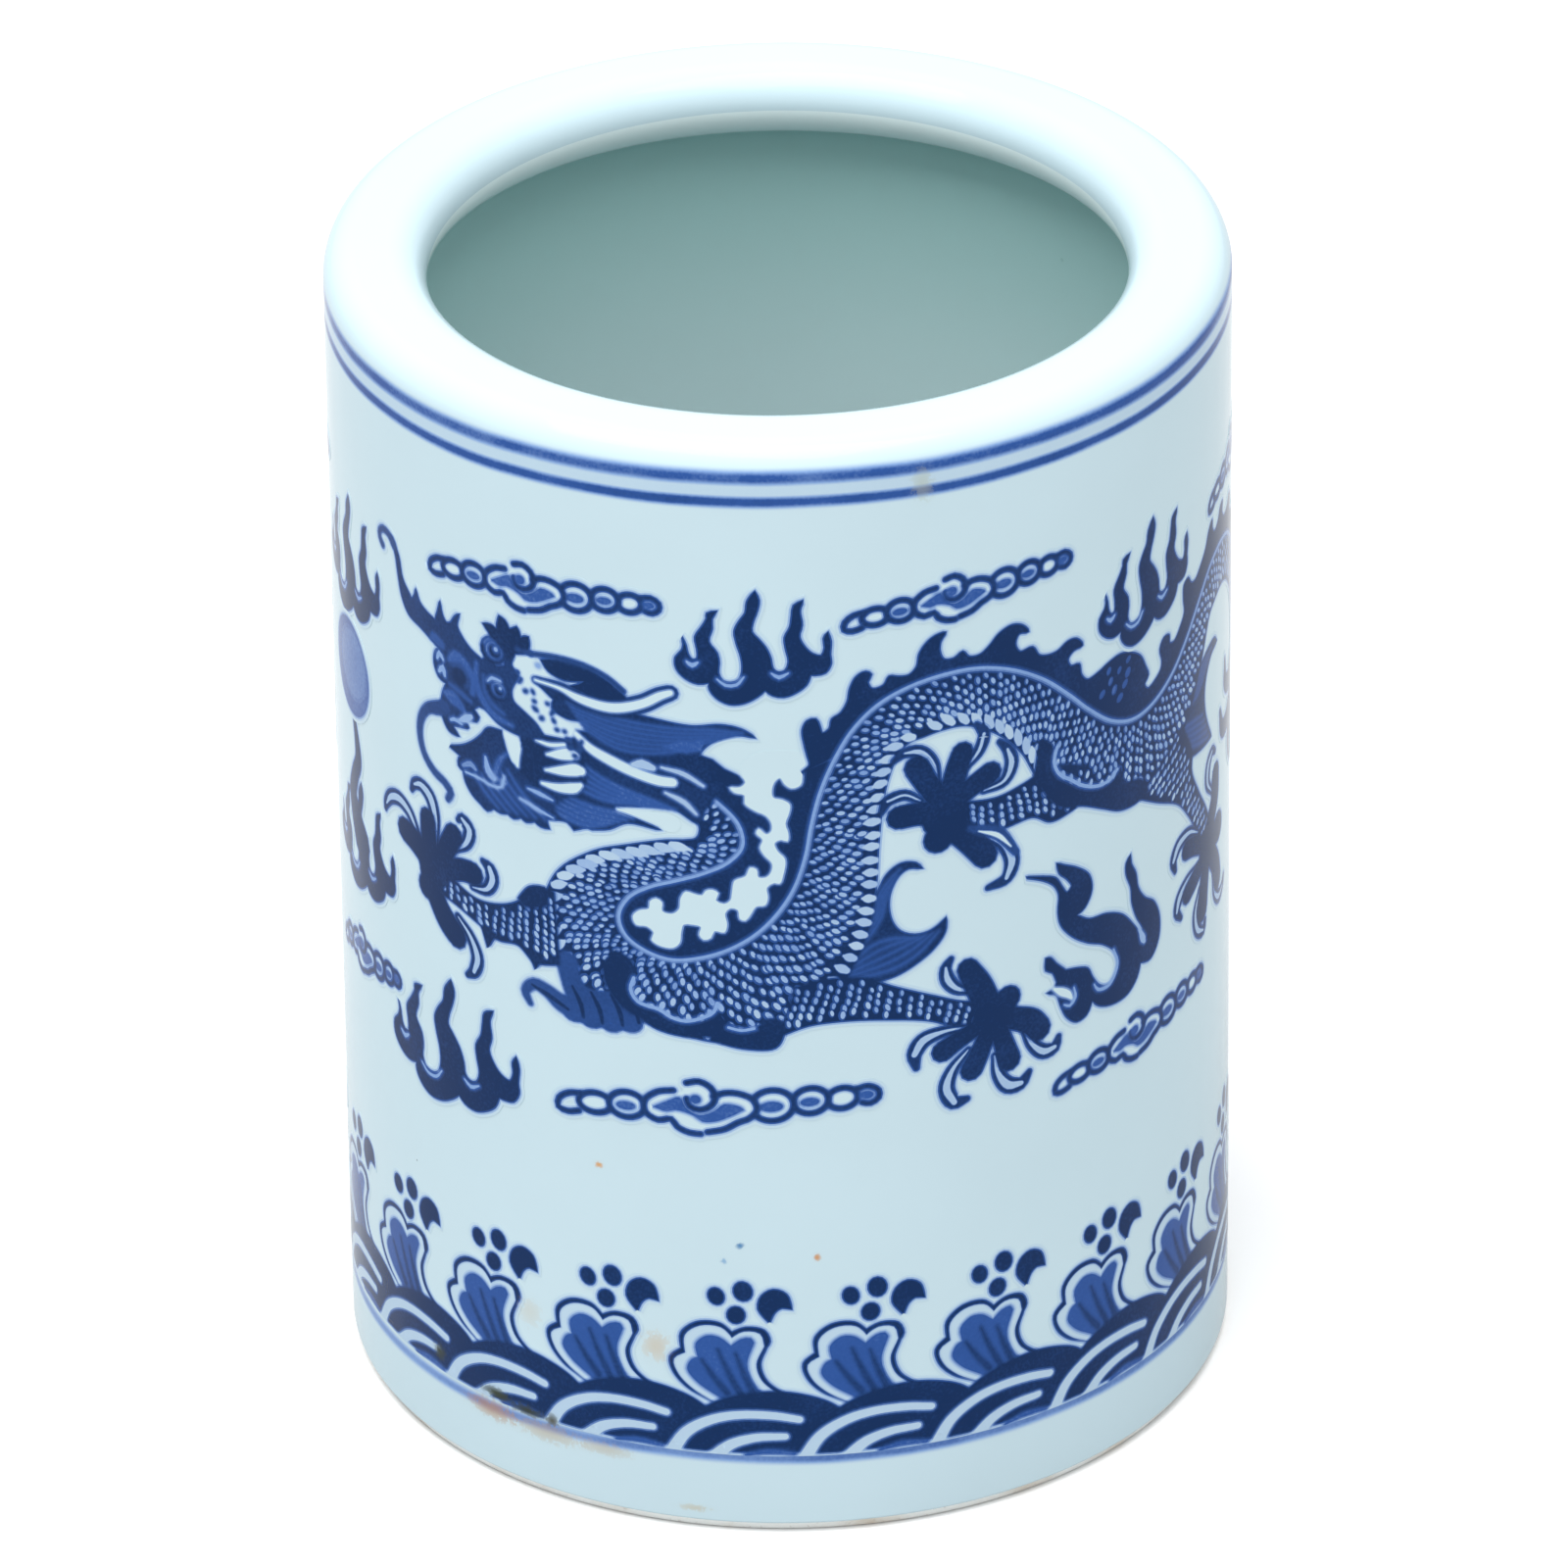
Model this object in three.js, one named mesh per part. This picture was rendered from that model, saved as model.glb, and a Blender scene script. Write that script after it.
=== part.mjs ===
// Porcelain brush pot: an upright cylinder with a thick rolled rim, standing on a trimmed foot ring.
//
// The ware is clay and glass. Four turned clay sections are luted one on another (foot ring, base,
// wall and rim), and three coats of glaze cover all the clay but the foot (outside, inside and under
// the base). Firing fuses everything, so the sections meet face to face and nothing moves.
//
// Millimetres, +Z up. The origin is the centre of the foot, on the surface that the pot stands on.
// Every section is turned about Z from a profile of (radius, height) points.

import * as THREE from "three";

// Driving dimensions, all of the glazed ware.
const OUTER_RADIUS = 50;
const HEIGHT = 137;
const MOUTH_RADIUS = 38.6;
const WELL_RADIUS = 44.3;
const GLAZE = 0.4;
const FLOOR_HEIGHT = 9.4;
const RECESS_DEPTH = 2.6;

// Roundings of the profile.
const SHOULDER_RADIUS = 3.5;
const LIP_RADIUS = 4.2;
const THROAT_RADIUS = WELL_RADIUS - MOUTH_RADIUS - LIP_RADIUS;
const CORNER_RADIUS = 6;

// The foot ring: the glaze stops a little above the surface that the pot stands on.
const FOOT_OUTER_RADIUS = 49.2;
const FOOT_INNER_RADIUS = 44.8;
const GLAZE_LINE = 1.2;

// Heights of the luted seams.
const FOOT_SEAM = RECESS_DEPTH + GLAZE;
const BASE_SEAM = FLOOR_HEIGHT + CORNER_RADIUS;
const RIM_SEAM = 124;

const SEGMENTS = 64;
const ARC_STEPS = 4;

const point = (radius, height) => new THREE.Vector2(radius, height);

// Points along an arc about (radius, height), from one angle to another in quarter turns.
// Angle 0 points away from the pot's axis, and a quarter turn points up.
function arc(radius, height, size, fromQuarter, toQuarter) {
  return Array.from({ length: ARC_STEPS + 1 }, (_, i) => {
    const angle = (fromQuarter + ((toQuarter - fromQuarter) * i) / ARC_STEPS) * (Math.PI / 2);
    return point(radius + size * Math.cos(angle), height + size * Math.sin(angle));
  });
}

// The profile pieces at a depth below the glazed surface: 0 is the glass, GLAZE is the clay.
const shoulder = (depth) =>
  arc(OUTER_RADIUS - SHOULDER_RADIUS, HEIGHT - SHOULDER_RADIUS, SHOULDER_RADIUS - depth, 0, 1);
const lipTop = (depth) => arc(MOUTH_RADIUS + LIP_RADIUS, HEIGHT - LIP_RADIUS, LIP_RADIUS - depth, 1, 2);
const lipUnderside = (depth) =>
  arc(MOUTH_RADIUS + LIP_RADIUS, HEIGHT - LIP_RADIUS, LIP_RADIUS - depth, 2, 3);
const throat = (depth) =>
  arc(WELL_RADIUS - THROAT_RADIUS, HEIGHT - 2 * LIP_RADIUS - THROAT_RADIUS, THROAT_RADIUS + depth, 1, 0);
const floorCorner = (depth) =>
  arc(WELL_RADIUS - CORNER_RADIUS, FLOOR_HEIGHT + CORNER_RADIUS, CORNER_RADIUS + depth, 0, -1);

const outside = (depth) => [
  point(OUTER_RADIUS - depth, GLAZE_LINE),
  ...shoulder(depth),
  ...lipTop(depth),
];
const inside = (depth) => [
  ...lipUnderside(depth),
  ...throat(depth).slice(1),
  ...floorCorner(depth),
  point(0, FLOOR_HEIGHT - depth),
];

const CLAY_OUTER = OUTER_RADIUS - GLAZE;
const CLAY_WELL = WELL_RADIUS + GLAZE;

const closed = (profile) => [...profile, profile[0].clone()];

const profiles = {
  foot_ring: closed([
    point(FOOT_INNER_RADIUS, 0),
    point(FOOT_OUTER_RADIUS, 0),
    point(CLAY_OUTER, GLAZE_LINE),
    point(CLAY_OUTER, FOOT_SEAM),
    point(FOOT_INNER_RADIUS, FOOT_SEAM),
  ]),
  base: [
    point(0, FOOT_SEAM),
    point(FOOT_INNER_RADIUS, FOOT_SEAM),
    point(CLAY_OUTER, FOOT_SEAM),
    point(CLAY_OUTER, BASE_SEAM),
    ...floorCorner(GLAZE),
    point(0, FLOOR_HEIGHT - GLAZE),
  ],
  wall: closed([
    point(CLAY_WELL, BASE_SEAM),
    point(CLAY_OUTER, BASE_SEAM),
    point(CLAY_OUTER, RIM_SEAM),
    point(CLAY_WELL, RIM_SEAM),
  ]),
  rim: closed([
    point(CLAY_WELL, RIM_SEAM),
    point(CLAY_OUTER, RIM_SEAM),
    ...shoulder(GLAZE),
    ...lipTop(GLAZE),
    ...lipUnderside(GLAZE).slice(1),
    ...throat(GLAZE).slice(1),
  ]),
  outer_glaze: closed([...outside(0), ...outside(GLAZE).reverse()]),
  inner_glaze: [...inside(GLAZE).reverse(), ...inside(0)],
  underside_glaze: [
    point(0, RECESS_DEPTH),
    point(FOOT_INNER_RADIUS, RECESS_DEPTH),
    point(FOOT_INNER_RADIUS, FOOT_SEAM),
    point(0, FOOT_SEAM),
  ],
};

const biscuit = new THREE.MeshStandardMaterial({ color: 0xe9e4d8, roughness: 0.85, metalness: 0 });
const glass = new THREE.MeshStandardMaterial({ color: 0xc9dde3, roughness: 0.12, metalness: 0 });
const materials = {
  foot_ring: biscuit,
  base: biscuit,
  wall: biscuit,
  rim: biscuit,
  outer_glaze: glass,
  inner_glaze: glass,
  underside_glaze: glass,
};

// A section turned about Z: three.js turns a profile about Y, so the result is stood up.
function turned(name) {
  const geometry = new THREE.LatheGeometry(profiles[name], SEGMENTS);
  geometry.rotateX(Math.PI / 2);
  const mesh = new THREE.Mesh(geometry, materials[name]);
  mesh.name = name;
  return mesh;
}

const brushPot = new THREE.Group();
brushPot.name = "brush_pot";
brushPot.add(...Object.keys(profiles).map(turned));

export default brushPot;
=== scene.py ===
"""Porcelain brush pot with underglaze cobalt decoration: a dragon, clouds and flames over waves."""

import math
import random
from bisect import bisect_left, bisect_right

import bpy
from bpy.props import FloatProperty, FloatVectorProperty, PointerProperty
from bpy.types import Operator, Panel, PropertyGroup
from mathutils import Matrix, Vector
from mathutils.geometry import delaunay_2d_cdt


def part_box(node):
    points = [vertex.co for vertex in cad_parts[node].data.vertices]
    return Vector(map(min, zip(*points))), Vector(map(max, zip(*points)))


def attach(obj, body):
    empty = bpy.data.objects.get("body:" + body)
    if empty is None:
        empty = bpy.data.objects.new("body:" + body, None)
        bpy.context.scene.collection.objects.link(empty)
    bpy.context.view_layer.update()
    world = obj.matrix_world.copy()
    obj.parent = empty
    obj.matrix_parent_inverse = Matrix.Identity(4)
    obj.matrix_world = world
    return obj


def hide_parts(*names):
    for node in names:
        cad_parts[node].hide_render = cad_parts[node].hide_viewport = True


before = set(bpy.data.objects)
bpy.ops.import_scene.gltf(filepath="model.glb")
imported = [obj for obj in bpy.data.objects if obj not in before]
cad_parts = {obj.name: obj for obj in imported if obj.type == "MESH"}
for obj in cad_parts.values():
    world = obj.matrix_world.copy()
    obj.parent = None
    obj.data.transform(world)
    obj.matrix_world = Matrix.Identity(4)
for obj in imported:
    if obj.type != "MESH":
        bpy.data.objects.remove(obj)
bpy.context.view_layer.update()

bl_info = {
    "name": "Brush Pot",
    "version": (1, 0, 0),
    "blender": (4, 5, 0),
    "location": "View3D > Sidebar > Brush Pot",
    "description": "Builds a glazed porcelain brush pot and its underglaze cobalt decoration",
    "category": "Add Mesh",
}

MM = 0.001
BODY = "root"

# Sizes that the frame gives, in millimetres.
OUTER_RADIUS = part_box("outer_glaze")[1][0] / MM
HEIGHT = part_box("outer_glaze")[1][2] / MM
WALL_ROUND = 2 * math.pi * OUTER_RADIUS

# Sizes of the profile, in millimetres.
SHOULDER, LIP, MOUTH, WELL, GLAZE_THICK, COVE = 3.5, 4.2, 38.6, 44.3, 0.4, 6.0
FLOOR_HEIGHT, RECESS, GLAZE_LINE = 9.4, 2.6, 1.2
THROAT = WELL - MOUTH - LIP

# How dense the cobalt lies, from bare glaze to the darkest line.
BARE, PALE, WASH, RICH, DEEP = 0.0, 0.3, 0.55, 0.78, 1.0

# Heights in metres over which the inside glaze is painted darker and greener towards the underside of the
# lip, as painted shade with a little of the green of pooled glaze, then painted lighter on the lip itself, as
# painted light.
SHADE_UNDER_LIP = (0.085, 0.127)
LIGHT_ON_LIP = (0.1275, 0.1295)

# The wheel lines lie only past this share of the outer radius, so none show in the well.
LINES_FROM = 0.94

# The floor's tone as the camera sees it, and how far below the axis the camera stands, in metres.
FLOOR_SEEN = (0.92, 0.92, 0.92, 1)
CAMERA_DROP = 0.00066

# How cobalt bleeds into the glaze round a stroke: (millimetres past the edge, share of the density).
BLEED = ((0.42, 0.2), (0.2, 0.52))
HALO = (0.74, 0.045)


# Curves, drawn flat: x runs round the wall to the right and y up from the foot, in millimetres.


def blend(a, b, ta, tb, t):
    """The row of numbers at t on the line that has row a at ta and row b at tb."""
    if tb - ta < 1e-9:
        return a
    k = (t - ta) / (tb - ta)
    return tuple(p + (q - p) * k for p, q in zip(a, b))


def through(points, closed=False, step=0.5):
    """A smooth curve through points, whose rows are x, y and any other numbers to blend."""
    points = [tuple(map(float, p)) for p in points]
    count = len(points)
    if count == 2 and not closed:
        return points
    if closed:
        row = [points[-1], *points, points[0], points[1]]
    else:
        before = tuple(2 * a - b for a, b in zip(points[0], points[1]))
        after = tuple(2 * a - b for a, b in zip(points[-1], points[-2]))
        row = [before, *points, after]
    curve = []
    for p0, p1, p2, p3 in zip(row, row[1:], row[2:], row[3:]):
        knots = [0.0]
        for a, b in ((p0, p1), (p1, p2), (p2, p3)):
            knots.append(knots[-1] + max(math.hypot(b[0] - a[0], b[1] - a[1]), 1e-4) ** 0.5)
        t0, t1, t2, t3 = knots
        pieces = max(2, round(math.hypot(p2[0] - p1[0], p2[1] - p1[1]) / step))
        for i in range(pieces):
            t = t1 + (t2 - t1) * i / pieces
            a1, a2, a3 = blend(p0, p1, t0, t1, t), blend(p1, p2, t1, t2, t), blend(p2, p3, t2, t3, t)
            b1, b2 = blend(a1, a2, t0, t2, t), blend(a2, a3, t1, t3, t)
            curve.append(blend(b1, b2, t1, t2, t))
    if not closed:
        curve.append(points[-1])
    return curve


def outline(*runs, step=0.5):
    """A closed outline of smooth runs that meet at corners: each run starts where the last one ended."""
    corner = runs[-1][-1]
    points = []
    for run in runs:
        points += through([corner, *run], step=step)[1:]
        corner = run[-1]
    return points


def area(points):
    return 0.5 * sum(a[0] * b[1] - b[0] * a[1] for a, b in zip(points, points[1:] + points[:1]))


def counterclockwise(points):
    return points if area(points) > 0 else points[::-1]


def ribbon(path, closed=False, extra=0.0):
    """Convex pieces that cover a path of (x, y, width) rows, each widened by extra on both sides."""
    last = len(path) - 1
    sides = []
    for i, (x, y, width) in enumerate(path):
        ahead = path[(i + 1) % len(path)] if closed else path[min(i + 1, last)]
        behind = path[i - 1] if closed else path[max(i - 1, 0)]
        dx, dy = ahead[0] - behind[0], ahead[1] - behind[1]
        size = math.hypot(dx, dy) or 1.0
        reach = (width / 2 + extra) / size
        sides.append(((x - dy * reach, y + dx * reach), (x + dy * reach, y - dx * reach)))
    pieces = []
    pairs = list(zip(sides, sides[1:] + sides[:1])) if closed else list(zip(sides, sides[1:]))
    for (left, right), (next_left, next_right) in pairs:
        for piece in ([right, next_right, next_left, left],):
            halves = [piece[:3], [piece[0], piece[2], piece[3]]]
            if all(area(half) > 1e-7 for half in halves):
                pieces.append(piece)
            else:
                pieces += [counterclockwise(half) for half in halves if abs(area(half)) > 1e-7]
    return pieces


def oval(x, y, across, along, turn=0.0, points=14):
    """An ellipse, turned counterclockwise by turn degrees."""
    c, s = math.cos(math.radians(turn)), math.sin(math.radians(turn))
    rim = []
    for i in range(points):
        a = 2 * math.pi * i / points
        px, py = across * math.cos(a), along * math.sin(a)
        rim.append((x + px * c - py * s, y + px * s + py * c))
    return rim


class Painting:
    """Flat coats of cobalt, each laid over the ones before it."""

    def __init__(self):
        self.coats = []
        self.halo = []
        self.chance = random.Random(5)

    def lay(self, pieces, density, strength=1.0):
        self.coats.append((pieces, density, strength))

    def fill(self, points, density=DEEP, halo=False, bleed=BLEED):
        """A filled outline that bleeds a little at its edge."""
        points = counterclockwise([(p[0], p[1]) for p in points])
        rim = [(x, y, 0.0) for x, y in points]
        for reach, share in bleed:
            self.lay([points, *ribbon(rim, closed=True, extra=reach)], density, share)
        self.lay([points], density)
        if halo:
            self.halo += [points, *ribbon(rim, closed=True, extra=HALO[0])]

    def brush(self, points, density=DEEP, halo=False, bleed=BLEED, step=0.5, smooth=True):
        """A stroke through (x, y, width) rows, with round ends where it isn't drawn to a point."""
        path = through(points, step=step) if smooth else points
        for reach, share in (*bleed, (0.0, 1.0)):
            self.lay(self.stroke(path, reach), density, share)
        if halo:
            self.halo += self.stroke(path, HALO[0])

    @staticmethod
    def stroke(path, extra):
        pieces = ribbon(path, extra=extra)
        for x, y, width in (path[0], path[-1]):
            if width / 2 + extra > 0.09:
                pieces.append(oval(x, y, width / 2 + extra, width / 2 + extra, points=10))
        return pieces

    def line(self, points, width=0.45, density=DEEP, **options):
        """A stroke of one width."""
        self.brush([(p[0], p[1], width) for p in points], density, **options)

    def spot(self, x, y, across, along, turn=0.0, density=DEEP, halo=False, bleed=BLEED):
        for reach, share in (*bleed, (0.0, 1.0)):
            self.lay([oval(x, y, across + reach, along + reach, turn)], density, share)
        if halo:
            self.halo.append(oval(x, y, across + HALO[0], along + HALO[0], turn))


# The wave border.

CRESTS = 21
CREST_PITCH = WALL_ROUND / CRESTS
CREST_START = -2.56
SEA_FLOOR = 10.2


def paint_wave(painting, x):
    """The foam crest over one mound of the sea round the foot, and the drops over it."""

    def at(*rows):
        return [(x + row[0], *row[1:]) for row in rows]

    # The foam crest: a double-lobed leaf with a pale margin and veins, bending to the right.
    leaf = outline(at((-9.0, 18.6), (-10.6, 20.4), (-11.0, 22.3), (-9.7, 23.6)),
        at((-9.7, 25.6), (-7.9, 27.2), (-5.4, 27.3), (-4.0, 26.2)),
        at((-2.4, 26.9), (-0.4, 26.6), (0.2, 25.2), (-0.2, 24.4)),
        at((-0.9, 22.2), (-0.2, 20.0), (1.9, 18.2)), at((-1.5, 15.5), (-6.6, 17.3)))
    painting.fill(leaf, DEEP, halo=True)
    painting.fill(outline(at((-8.3, 18.6), (-9.9, 20.3), (-10.4, 22.0), (-9.1, 23.0)),
            at((-9.1, 25.3), (-7.5, 26.6), (-5.3, 26.6), (-4.0, 25.3)),
            at((-2.6, 26.2), (-1.0, 26.0), (-0.6, 24.6)), at((-1.5, 22.2), (-0.9, 20.0), (0.9, 18.2)),
            at((-1.5, 16.0), (-6.2, 17.3))), BARE + 0.07, bleed=((0.34, 0.35), (0.18, 0.85)))
    painting.fill(outline(at((-8.0, 19.4), (-9.1, 21.0), (-8.6, 22.3), (-7.9, 22.7)),
            at((-8.1, 24.4), (-6.8, 25.6), (-5.4, 25.5), (-4.1, 24.5)),
            at((-3.0, 25.4), (-1.9, 25.6), (-1.5, 25.0)), at((-2.3, 22.3), (-1.8, 20.0), (-0.6, 18.2)),
            at((-2.5, 16.5), (-5.4, 17.6))), WASH + 0.03)
    for bend in ((-7.4, 22.4, -4.6, 18.3), (-5.6, 23.9, -3.0, 18.0), (-3.6, 23.5, -1.6, 18.2)):
        x0, y0, x1, y1 = bend
        middle = (0.55 * x0 + 0.45 * x1, 0.5 * y0 + 0.5 * y1, 0.45)
        painting.brush(at((x0, y0, 0.15), middle, (x1, y1, 0.6)), DEEP - 0.12)

    # Drops of spray: three round ones and a comma.
    painting.spot(x - 5.7, 30.8, 0.85, 1.05, 15, halo=True)
    painting.spot(x - 2.7, 31.6, 1.0, 1.2, 10, halo=True)
    painting.spot(x - 3.5, 28.5, 0.95, 1.05, -8, halo=True)
    comma = outline(at((0.2, 27.7), (-1.0, 29.4), (-0.6, 31.1), (0.7, 31.9), (2.1, 31.3), (2.7, 29.4)),
        at((1.6, 29.6), (0.8, 29.0), (0.2, 27.7)))
    painting.fill(comma, DEEP, halo=True)


def paint_mound(painting, x):
    """The banded mound of water under one crest, over the one to its left."""

    def at(*rows):
        return [(x + row[0], *row[1:]) for row in rows]

    mound = outline(
        at((-9.4, 14.0), (-6.4, 16.7), (-3.4, 18.0), (0.4, 18.6), (3.8, 18.2), (7.0, 16.9), (9.4, 14.4),
           (10.6, 10.7)),
        at((-11.5, 10.7)))
    painting.fill(mound, DEEP, halo=True)
    painting.brush(
        at((-11.2, 9.6, 1.5), (-9.2, 12.8, 1.25), (-6.3, 14.7, 1.1), (-3.2, 15.5, 1.0), (0.6, 15.5, 0.95),
           (3.4, 15.0, 0.85)),
        PALE - 0.2)
    painting.brush(at((-6.2, 9.8, 1.5), (-4.2, 11.6, 1.2), (-1.4, 12.6, 1.0), (1.8, 12.8, 0.8)), PALE - 0.2)
    painting.brush(at((-2.6, 10.3, 0.3), (0.0, 10.8, 0.5), (3.0, 10.5, 0.3)), WASH)


def wave_units():
    """One pitch of the border, with enough of its neighbours to overlap it."""
    painting = Painting()
    for i in range(-2, 3):
        paint_wave(painting, CREST_START + i * CREST_PITCH)
        paint_mound(painting, CREST_START + i * CREST_PITCH)
    return painting


# Flames.


def placed(points, x, y, wide=1.0, tall=1.0, lean=0.0):
    """Rows of points stretched, leant over and moved; their widths stay as they are."""
    return [(x + p[0] * wide + p[1] * lean, y + p[1] * tall, *p[2:]) for p in points]


def paint_flame(painting, x, y, wide=1.0, tall=1.0, lean=0.0):
    """A burst of flame: five tongues that rise from a scalloped root, 16 wide and 14 tall."""

    def at(*rows):
        return placed(rows, x, y, wide, tall, lean)

    painting.fill(outline(
            at((-7.5, 6.9), (-7.3, 5.9), (-6.8, 5.2), (-6.2, 5.4), (-6.2, 6.6), (-6.4, 8.0), (-5.6, 9.4),
               (-5.1, 10.4), (-5.1, 11.0), (-4.0, 11.4)),
            at((-4.6, 10.4), (-4.6, 9.2), (-5.0, 7.6), (-4.1, 6.2), (-3.9, 5.0), (-4.0, 3.8), (-3.5, 2.8),
               (-2.6, 2.6), (-1.7, 3.0), (-1.3, 4.2), (-1.4, 5.8), (-1.9, 7.6), (-2.1, 9.0), (-1.6, 10.2),
               (-0.9, 11.3), (-0.7, 12.7), (0.1, 14.0)),
            at((0.5, 12.9), (0.3, 11.6), (-0.2, 10.1), (-0.3, 9.0), (0.4, 8.1), (1.2, 7.0), (1.7, 5.7),
               (1.9, 4.5), (2.5, 4.0), (3.3, 4.2), (3.7, 5.3), (3.4, 7.0), (3.3, 8.3), (3.9, 9.6),
               (4.1, 11.0), (4.3, 12.2), (5.3, 12.8)),
            at((4.9, 11.6), (5.1, 9.8), (4.8, 8.4), (5.3, 7.2), (6.2, 6.2), (7.2, 5.9), (7.6, 6.9),
               (7.5, 8.0), (7.9, 8.8)),
            at((8.2, 7.6), (8.1, 6.0), (8.2, 4.9), (7.6, 3.8), (6.6, 3.6), (6.0, 3.6)),
            at((5.5, 2.4), (4.4, 1.5), (3.1, 1.0), (1.9, 1.2), (1.1, 1.8)),
            at((0.2, 1.0), (-1.2, 0.2), (-2.8, 0.0), (-4.2, 0.7), (-4.9, 1.7), (-5.0, 2.5)),
            at((-6.2, 2.3), (-7.5, 2.8), (-8.5, 3.9), (-8.6, 5.3), (-7.9, 6.2), (-7.7, 7.0), (-7.9, 7.9)),
            step=0.5), DEEP, halo=True)
    painting.brush(at((-7.4, 4.9, 0.25), (-6.8, 4.5, 0.6), (-6.2, 4.9, 0.25)), PALE)
    painting.brush(at((-4.1, 3.0, 0.2), (-3.2, 2.3, 0.38), (-2.0, 2.4, 0.38), (-1.2, 3.4, 0.2)), PALE)
    painting.brush(at((1.8, 3.9, 0.2), (2.6, 3.4, 0.5), (3.6, 3.9, 0.2)), PALE)


def flames():
    painting = Painting()
    paint_flame(painting, -3.0, 106.0)
    paint_flame(painting, 46.2, 103.0, 0.98, 1.02, 0.06)
    paint_flame(painting, -42.2, 46.0, 1.26, 1.18, 0.03)
    paint_flame(painting, -62.6, 98.6, 1.05, 1.1, 0.02)
    return painting


def paint_long_flame(painting, at):
    """A flame blown sideways: a coiling tongue with a hooked tip, and two lesser ones."""
    painting.fill(outline(
            at((27.7, 79.8), (29.8, 78.8), (31.4, 77.6), (32.1, 76.2), (32.0, 74.0), (32.4, 72.2),
               (34.0, 70.2),
               (36.2, 68.6), (38.6, 67.4), (40.4, 65.8), (41.1, 64.2), (40.6, 62.6), (39.4, 61.8),
               (38.0, 62.3),
               (36.9, 63.8), (36.2, 65.2), (34.8, 65.8), (33.0, 66.2)),
            at((31.6, 67.6), (30.9, 68.5), (30.3, 68.7)), at((30.3, 67.2), (31.2, 66.6), (31.8, 65.2)),
            at((31.4, 64.4), (30.4, 64.2)),
            at((31.7, 63.6), (32.4, 61.8), (33.2, 60.2), (34.6, 59.1), (36.0, 59.4), (36.9, 60.8)),
            at((38.0, 59.8), (40.2, 59.1), (42.6, 59.3), (44.2, 60.6), (44.9, 62.2)),
            at((46.8, 61.9), (48.3, 63.6), (48.5, 66.4), (47.4, 68.8), (45.6, 70.2), (44.4, 72.0),
               (44.0, 74.0),
               (43.2, 75.6), (43.1, 76.8)),
            at((42.4, 76.0), (42.4, 74.6), (43.2, 72.6), (43.4, 70.6), (44.2, 68.4), (45.2, 66.6),
               (45.0, 65.6)),
            at((43.6, 67.6), (41.6, 69.8), (39.0, 71.0), (36.4, 71.4), (34.6, 72.6)),
            at((35.8, 73.2), (36.8, 75.0), (36.4, 77.0), (34.6, 78.6), (32.6, 79.7), (31.8, 80.2)),
            at((32.2, 78.8), (33.2, 77.8), (33.9, 76.6), (33.2, 76.0), (32.6, 76.8), (31.6, 78.4),
               (29.8, 79.2)),
            step=0.5), DEEP, halo=True)
    painting.brush(at((40.3, 66.0, 0.2), (40.9, 63.8, 0.4), (39.6, 61.8, 0.45), (37.8, 61.9, 0.4),
                      (37.2, 62.8, 0.2)), PALE)
    painting.brush(at((44.7, 66.6, 0.3), (45.4, 65.0, 0.9), (45.6, 64.6, 0.5)), PALE - 0.05)
    painting.brush(at((31.4, 64.4, 0.3), (32.4, 63.7, 0.9), (33.4, 63.0, 0.8), (33.9, 62.3, 0.3)), BARE)
    painting.brush(at((34.2, 63.6, 0.2), (34.4, 62.3, 0.4), (33.6, 61.5, 0.4), (32.8, 61.9, 0.2)), PALE)


def blown_flames():
    painting = Painting()
    paint_long_flame(painting, lambda *rows: placed(rows, 0, 0))
    # Below the pearl, a burst whose longest tongue rises in waves to it.
    paint_flame(painting, -60.6, 64.3, 1.05, 1.02)
    painting.brush(
        [(-60.8, 71.0, 4.6), (-62.6, 73.6, 3.4), (-63.5, 76.0, 2.4), (-62.6, 78.6, 2.0),
         (-61.3, 81.0, 1.8), (-61.6, 83.6, 1.3),
         (-62.6, 86.6, 0.6)], DEEP, halo=True)
    return painting


def pearls():
    """The flaming pearl that the dragon chases: a soft blue disc with a paler rim."""
    painting = Painting()
    painting.fill(oval(-63.1, 92.1, 5.8, 5.8, points=48), WASH, halo=True)
    painting.fill(oval(-62.4, 92.8, 4.3, 4.0, 30, points=32), WASH - 0.09, bleed=((0.5, 0.5),))
    return painting


# Clouds.


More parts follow.
